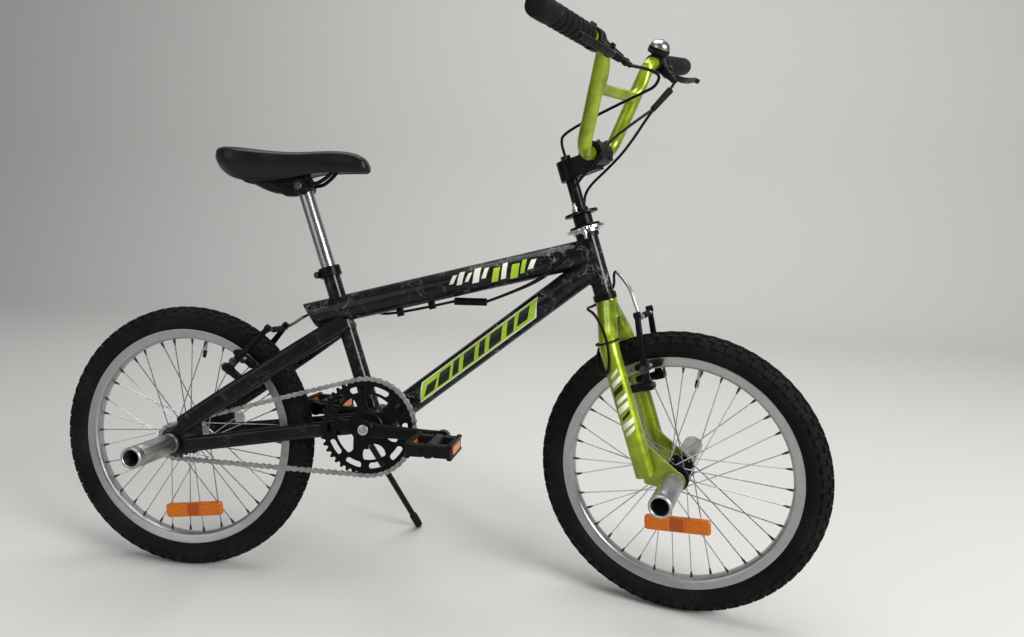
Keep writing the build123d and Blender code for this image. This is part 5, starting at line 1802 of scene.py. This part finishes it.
@dataclass
class Brake:
    """A pair of rim-brake arms with pads, bolts, noodle and boot."""

    name: str
    carrier: Carrier
    origin: Array
    out: Array
    back: Array
    foot: tuple[float, float, float]
    top: tuple[float, float, float]
    boss_depth: float
    noodle: Sequence[Array]
    link: tuple[float, float]
    noodle_side: int
    boot_len: float = 37.0
    pad_out: float = 201.0

    def on(self, out: float, back: float = 0.0, side: float = 0.0) -> Array:
        """A point out along the brake, behind that line and to the left."""
        return self.origin + self.out * out + self.back * back + ACROSS * side

    def arm(self) -> Surface:
        """The left arm: a section carried up from the pivot, bowed outward, with a boss and an eye."""
        low, high = np.array(self.foot), np.array(self.top)
        share = np.linspace(0, 1, 16)[:, None]
        line = low + (high - low) * share
        line[:, 2] += 5.0 * np.sin(share[:, 0] * math.pi)
        path = np.array([self.on(*row) for row in line])
        sizes = np.concatenate([6.4 - 1.6 * share, 7.2 - 2.6 * share], 1)
        deep = -self.boss_depth
        boss = [(4, deep), (7, deep), (7.6, -9), (8.6, -8), (8.6, 8), (7.4, 9.2), (4, 9.2)]
        eye = [(2, -6.2), (5.6, -5.8), (6.2, -4.6), (6.2, 4.6), (5.6, 5.8), (2, 6.2)]
        return Surface.joined([sweep(path, sizes, self.back, 16, 3.2),
                               revolve(boss, self.on(*self.foot), self.back, 26),
                               revolve(eye, self.on(*self.top), self.back, 22)])

    @property
    def pad_share(self) -> float:
        """How far up the arm its pad sits."""
        return (self.pad_out - self.foot[0]) / (self.top[0] - self.foot[0])

    @property
    def pad_spot(self) -> Array:
        """The pad's place, on the wheel's middle plane."""
        return self.on(self.pad_out, self.foot[1] + (self.top[1] - self.foot[1]) * self.pad_share)

    def pad(self) -> Surface:
        """The left pad: a rounded shoe with three grooves in its rim side."""
        way = np.cross(self.back, ACROSS)
        parts = [block(self.pad_spot + ACROSS * 20.0, (50, 11, 7.6), self.back, way, 5.0, 1.2)]
        for shift in (-17.5, -5.8, 5.8, 17.5):
            land = self.pad_spot + ACROSS * 14.9 + self.back * shift
            parts.append(block(land, (9.6, 9.6, 3.4), self.back, way, 2.0, 0.6))
        return Surface.joined(parts)

    def hardware(self) -> Surface:
        """Pad stud with dished washers and nut, and the pivot's bolt."""
        side = self.foot[2] + (self.top[2] - self.foot[2]) * self.pad_share + 4
        washers = [(3.0, 23), (6.5, 24), (8.0, 27), (5, 30), (3.4, 31), (3.4, side + 8)]
        nut = [(7.4, side + 8.4), (7.4, side + 10), (4.6, side + 10.4), (4.6, side + 14), (2, side + 15)]
        return Surface.joined([revolve(washers + nut, self.pad_spot, ACROSS, 18),
                               bolt(self.on(*self.foot) + self.back * 9, self.back, 5.6, 4.2)])

    def build(self) -> None:
        """Make the brake's pieces."""
        name = self.name
        self.carrier.add(f"{name}_arms", self.arm().with_twin(), BLACK_METAL, [f"{name}_brake_arms"])
        self.carrier.add(f"{name}_pads", self.pad().with_twin(), GRIP_RUBBER)
        self.carrier.add(f"{name}_brake_bolts", self.hardware().with_twin(), DARK_STEEL)
        middle = self.on(self.top[0] - 5.5, self.top[1] - 0.4)
        way = ACROSS * self.noodle_side
        tip, end = self.link
        wire = revolve([(1.5, -end), (1.5, tip + 2)], middle, way, 10)
        pipe = Surface.joined([sweep(flow(self.noodle, 40), 3.2, self.back, 14), wire])
        self.carrier.add(f"{name}_noodle", pipe, STEEL, [f"{name}_brake_noodle"])
        along = np.linspace(tip - self.boot_len, tip, 33)
        pleats = np.stack([5.0 + 0.7 * np.cos(along * 2 * math.pi / 4.75), along], -1)
        self.carrier.add(f"{name}_boot", revolve(pleats, middle, way, 18), GRIP_RUBBER)
        cradle = [(3.3, tip + 12), (5.4, tip + 13), (5.4, tip + 19), (3.3, tip + 20)]
        anchor = [(4.4, -end - 1), (4.4, 7 - end), (3, 8 - end)]
        ends = Surface.joined([revolve(cradle, middle, way, 16), revolve(anchor, middle, way, 6)])
        self.carrier.add(f"{name}_anchor", ends, STEEL)


def build_brakes() -> None:
    """The rear brake on the seat stays and the front brake on the fork."""
    rear_out = unit(vec(0.593, 0, 0.805))
    noodle = [vec(173.5, 24, 472.7), vec(173.5, 44, 472.7), vec(177.6, 51, 475.3), vec(186.6, 51, 480.8),
              vec(208, 46, 494)]
    Brake("rear", FRAME, LAYOUT.rear, out=rear_out, back=vec(-rear_out[2], 0, rear_out[0]),
          foot=(180.0, 0.0, 52.0), top=(284.0, -10.0, 37.0), boss_depth=42.0, noodle=noodle,
          link=(24.0, 36.0), noodle_side=1).build()
    head = LAYOUT.on_head
    noodle = [head(286, 59.3, -8), head(286, 59.3, -22), head(289, 59, -29.5), head(302, 57.6, -30),
              head(342, 53, -24), head(352.9, 47.7, -18.2), head(361.5, 42.9, -13), head(372, 34.5, -4)]
    Brake("front", FORK, head(0), out=LAYOUT.up_axis, back=LAYOUT.ahead, foot=(171.0, 44.0, 48.0),
          top=(292.0, 60.0, 50.0), boss_depth=42.0, noodle=noodle, link=(8.0, 46.0), noodle_side=-1).build()


# Cables, stand, studio


def add_cables(cockpit: Cockpit) -> None:
    """The brake cables: from both levers, through the rotor and down to the brakes.

    Args:
        cockpit: Where the levers are.
    """
    head = LAYOUT.on_head
    left_exit = LAYOUT.twisted(cockpit.cable_exit)
    right_exit = LAYOUT.twisted(cockpit.cable_exit * (1, -1, 1))
    front = [right_exit, vec(897, -97, 927), vec(888, -76, 908), vec(862, -64, 900), vec(772, -23, 872),
             head(634, 8, -2), head(622), head(600), head(290), head(268), head(256, -28, -42),
             head(208, -28, -66), head(212, -4, -84), head(262, 8, -84), head(312, -8, -54),
             head(326, -34, -24), head(324, -30, 26), head(344, 14, 28), head(378, 27, 4),
             head(366, 42, -12), head(342, 53, -24)]
    FORK.cable("front_brake_cable", front, 1.087, ["front_cable"])
    boot_top, boot_foot = head(655, 197, 70), head(630, 161, 52)
    left = [left_exit, boot_top, boot_foot, head(579, 104, 36), head(556, 62, 34), head(534, 14, 32),
            head(509, 0, 30), head(493, 0, 30)]
    FORK.cable("rotor_cable_left", left, 0.285, ["upper_rotor_cables"])
    right = [boot_foot, head(597, 90, -8), head(572, 79, -47), head(552, 40, -40), head(530, 4, -33),
             head(509, 0, -30), head(493, 0, -30)]
    FORK.cable("rotor_cable_right", right, 0.261, ["upper_rotor_cables"])
    for name, side in (("right", -1), ("left", 1)):
        run = [head(459, -3, 33 * side), head(437, -10, 34 * side), vec(692, 32 * side, 596),
               vec(640, 16 * side, 566), vec(580, 3.4 * side, 542)]
        FRAME.cable(f"lower_cable_{name}", run, 0.23, ["lower_rotor_cables"])
    rear = [vec(521, 0, 540.5), vec(402, 0, 509), vec(352, 32, 512), vec(300, 38, 533), vec(252, 43, 518),
            vec(208, 46, 494)]
    FRAME.cable("rear_brake_cable", rear, 0.332, ["rear_cable"])
    taper = np.linspace(6.2, 5.2, 12)[:, None] * np.ones(2)
    boot = sweep(np.linspace(boot_top, boot_foot, 12), taper, ACROSS, 18)
    FORK.add("splitter_boot", boot, GRIP_RUBBER)
    soften("cable_fittings", "cable_guides", Body.FRAME, BLACK_METAL, 0.8)


def build_stand() -> None:
    """The side stand: a slim leg from its hub to the floor, a rubber foot and the bracket it turns in."""
    fold = joint("stand_fold")
    hub = ON_FRAME.back(fold["pos_m"])
    axis = np.array(fold["axis"]) @ ON_FRAME.turn
    ankle = vec(408.336, 211.818, 40.526)
    way = unit(ankle - hub)
    rod = sweep(np.stack([hub + way * 8, hub + way * 285]), 6.0, axis, 20)
    eye = revolve(collar(4.2, 11.0, -9, 9, 0.8), hub, axis, 32, closed=True)
    leg = Surface.joined([rod, eye, bolt(hub + axis * 9, axis, 6.5, 4.0)])
    STAND.add("stand_rod", leg, BLACK_METAL, ["stand_leg"])
    turn = np.radians(np.linspace(0, 85, 9))
    shoe_r = 8.2
    tip = np.stack([shoe_r * np.cos(turn), 295.9 + shoe_r * np.sin(turn)], -1)
    foot = np.concatenate([[(6.0, 262), (7.6, 263), (shoe_r, 266)], tip])
    STAND.add("stand_shoe", revolve(foot, hub, way, 28), GRIP_RUBBER, ["stand_foot"])
    soften("stand_bracket", "stand_mount", Body.FRAME, BLACK_METAL, 0.8)


@dataclass
class Studio:
    """Floor, backdrop, soft lights and the camera."""

    camera_from_axle: tuple[float, float, float] = (0.8059, -1.2445, 0.5304)
    yaw_deg: float = -7.885
    pitch_deg: float = -11.912
    roll_deg: float = 1.060
    focal_px: float = 724.57
    image_wide: float = 1024.0
    floor_colour: Colour = (0.62, 0.61, 0.59)
    sky_colour: Colour = (0.92, 0.95, 1.0)
    sky_strength: float = 0.18
    aim: tuple[float, float, float] = (0.0, 0.0, 0.45)

    # Soft lights: name, place, size, watts
    LAMPS = (("key_light", (3.3, -1.9, 2.2), 1.5, 150.0), ("fill_light", (-2.2, -2.8, 1.8), 2.6, 26.0),
             ("top_light", (0.0, 0.4, 3.4), 2.6, 80.0))

    def camera(self) -> None:
        """A camera at the photograph's place: forward from yaw and pitch, then rolled about it."""
        yaw, pitch, roll = (math.radians(a) for a in (self.yaw_deg, self.pitch_deg, self.roll_deg))
        forward = vec(math.sin(yaw) * math.cos(pitch), math.cos(yaw) * math.cos(pitch), math.sin(pitch))
        level = vec(math.cos(yaw), -math.sin(yaw), 0)
        rise = np.cross(level, forward)
        right = level * math.cos(roll) + rise * math.sin(roll)
        up = rise * math.cos(roll) - level * math.sin(roll)
        data = bpy.data.cameras.new("photo_camera")
        data.sensor_width = 36.0
        data.sensor_fit = "HORIZONTAL"
        data.lens = self.focal_px / self.image_wide * data.sensor_width
        data.clip_start = 0.02
        camera = linked("photo_camera", data)
        matrix = np.eye(4)
        matrix[:3, :3] = np.stack([right, up, -forward], -1)
        matrix[:3, 3] = ON_FRAME.put(LAYOUT.rear) + np.array(self.camera_from_axle)
        camera.matrix_world = Matrix(matrix.tolist())
        bpy.context.scene.camera = camera

    def floor(self) -> None:
        """A pale floor that sweeps up into a backdrop behind the bicycle: a profile drawn out sideways."""
        turn = np.radians(np.linspace(0, 90, 16))
        curve = np.stack([2.2 + 0.9 * np.sin(turn), 0.9 - 0.9 * np.cos(turn)], -1)
        profile = np.concatenate([[(-9.0, 0.0), (2.0, 0.0)], curve, [(3.1, 7.0)]])
        wide = np.linspace(-12, 12, 3)
        x, y = np.meshgrid(wide, profile[:, 0], indexing="ij")
        z = np.broadcast_to(profile[:, 1], y.shape)
        count = len(profile)
        rows, cols = np.meshgrid(np.arange(2), np.arange(count - 1), indexing="ij")
        start = rows * count + cols
        faces = np.stack([start, start + count, start + count + 1, start + 1], -1).reshape(-1, 4)
        mesh = bpy.data.meshes.new("studio_floor")
        mesh.from_pydata(np.stack([x, y, z], -1).reshape(-1, 3).tolist(), [], faces.tolist())
        mesh.polygons.foreach_set("use_smooth", np.ones(len(mesh.polygons), bool))
        shader = Shader("studio_floor")
        mesh.materials.append(shader.finish(Base_Color=rgba(self.floor_colour), Roughness=0.9,
                                            Specular_IOR_Level=0.1))
        linked("studio_floor", mesh)

    def lamp(self, name: str, spot: Sequence[float], size: float, power: float) -> None:
        """A square soft light aimed at the bicycle's middle."""
        data = bpy.data.lights.new(name, "AREA")
        data.size = size
        data.energy = power
        light = linked(name, data)
        light.location = spot
        light.rotation_euler = (Vector(self.aim) - Vector(spot)).to_track_quat("-Z", "Y").to_euler()

    def build(self) -> None:
        """Make the studio."""
        scene = bpy.context.scene
        scene.view_settings.view_transform = "Standard"
        self.camera()
        self.floor()
        for row in self.LAMPS:
            self.lamp(*row)
        world = bpy.data.worlds.new("studio_world")
        world.use_nodes = True
        sky = world.node_tree.nodes["Background"]
        sky.inputs["Color"].default_value = rgba(self.sky_colour)
        sky.inputs["Strength"].default_value = self.sky_strength
        scene.world = world


def main() -> None:
    """Build every assembly in order."""
    logging.basicConfig(level=logging.INFO, format="%(name)s: %(message)s")
    Studio().build()
    Wheel("rear", Carrier(ON_FRAME, Body.REAR_WHEEL), LAYOUT.rear, hub_half=53.0, hub_finish=STEEL,
          reflector=(143.0, -83.0), valve_deg=80.0, core_y=(-52.0, -38.0)).build()
    Wheel("front", Carrier(ON_FORK, Body.FRONT_WHEEL), LAYOUT.front, hub_half=43.0, hub_finish=BLACK_METAL,
          reflector=(88.0, -86.0), valve_deg=81.5).build()
    Pegs("rear", FRAME, LAYOUT.rear, base_y=66.0, tip_y=180.0).build()
    Pegs("front", FORK, LAYOUT.front, base_y=56.0, tip_y=169.0).build()
    MainFrame().build()
    Seat().build()
    Drive().build()
    cockpit = Cockpit(bar_end=vec(823, 310, 990), bar_top=vec(830, 99, 969), bar_foot=vec(773, 57, 810))
    cockpit.build()
    Fork().build()
    build_brakes()
    add_cables(cockpit)
    build_stand()


if __name__ == "__main__":
    main()
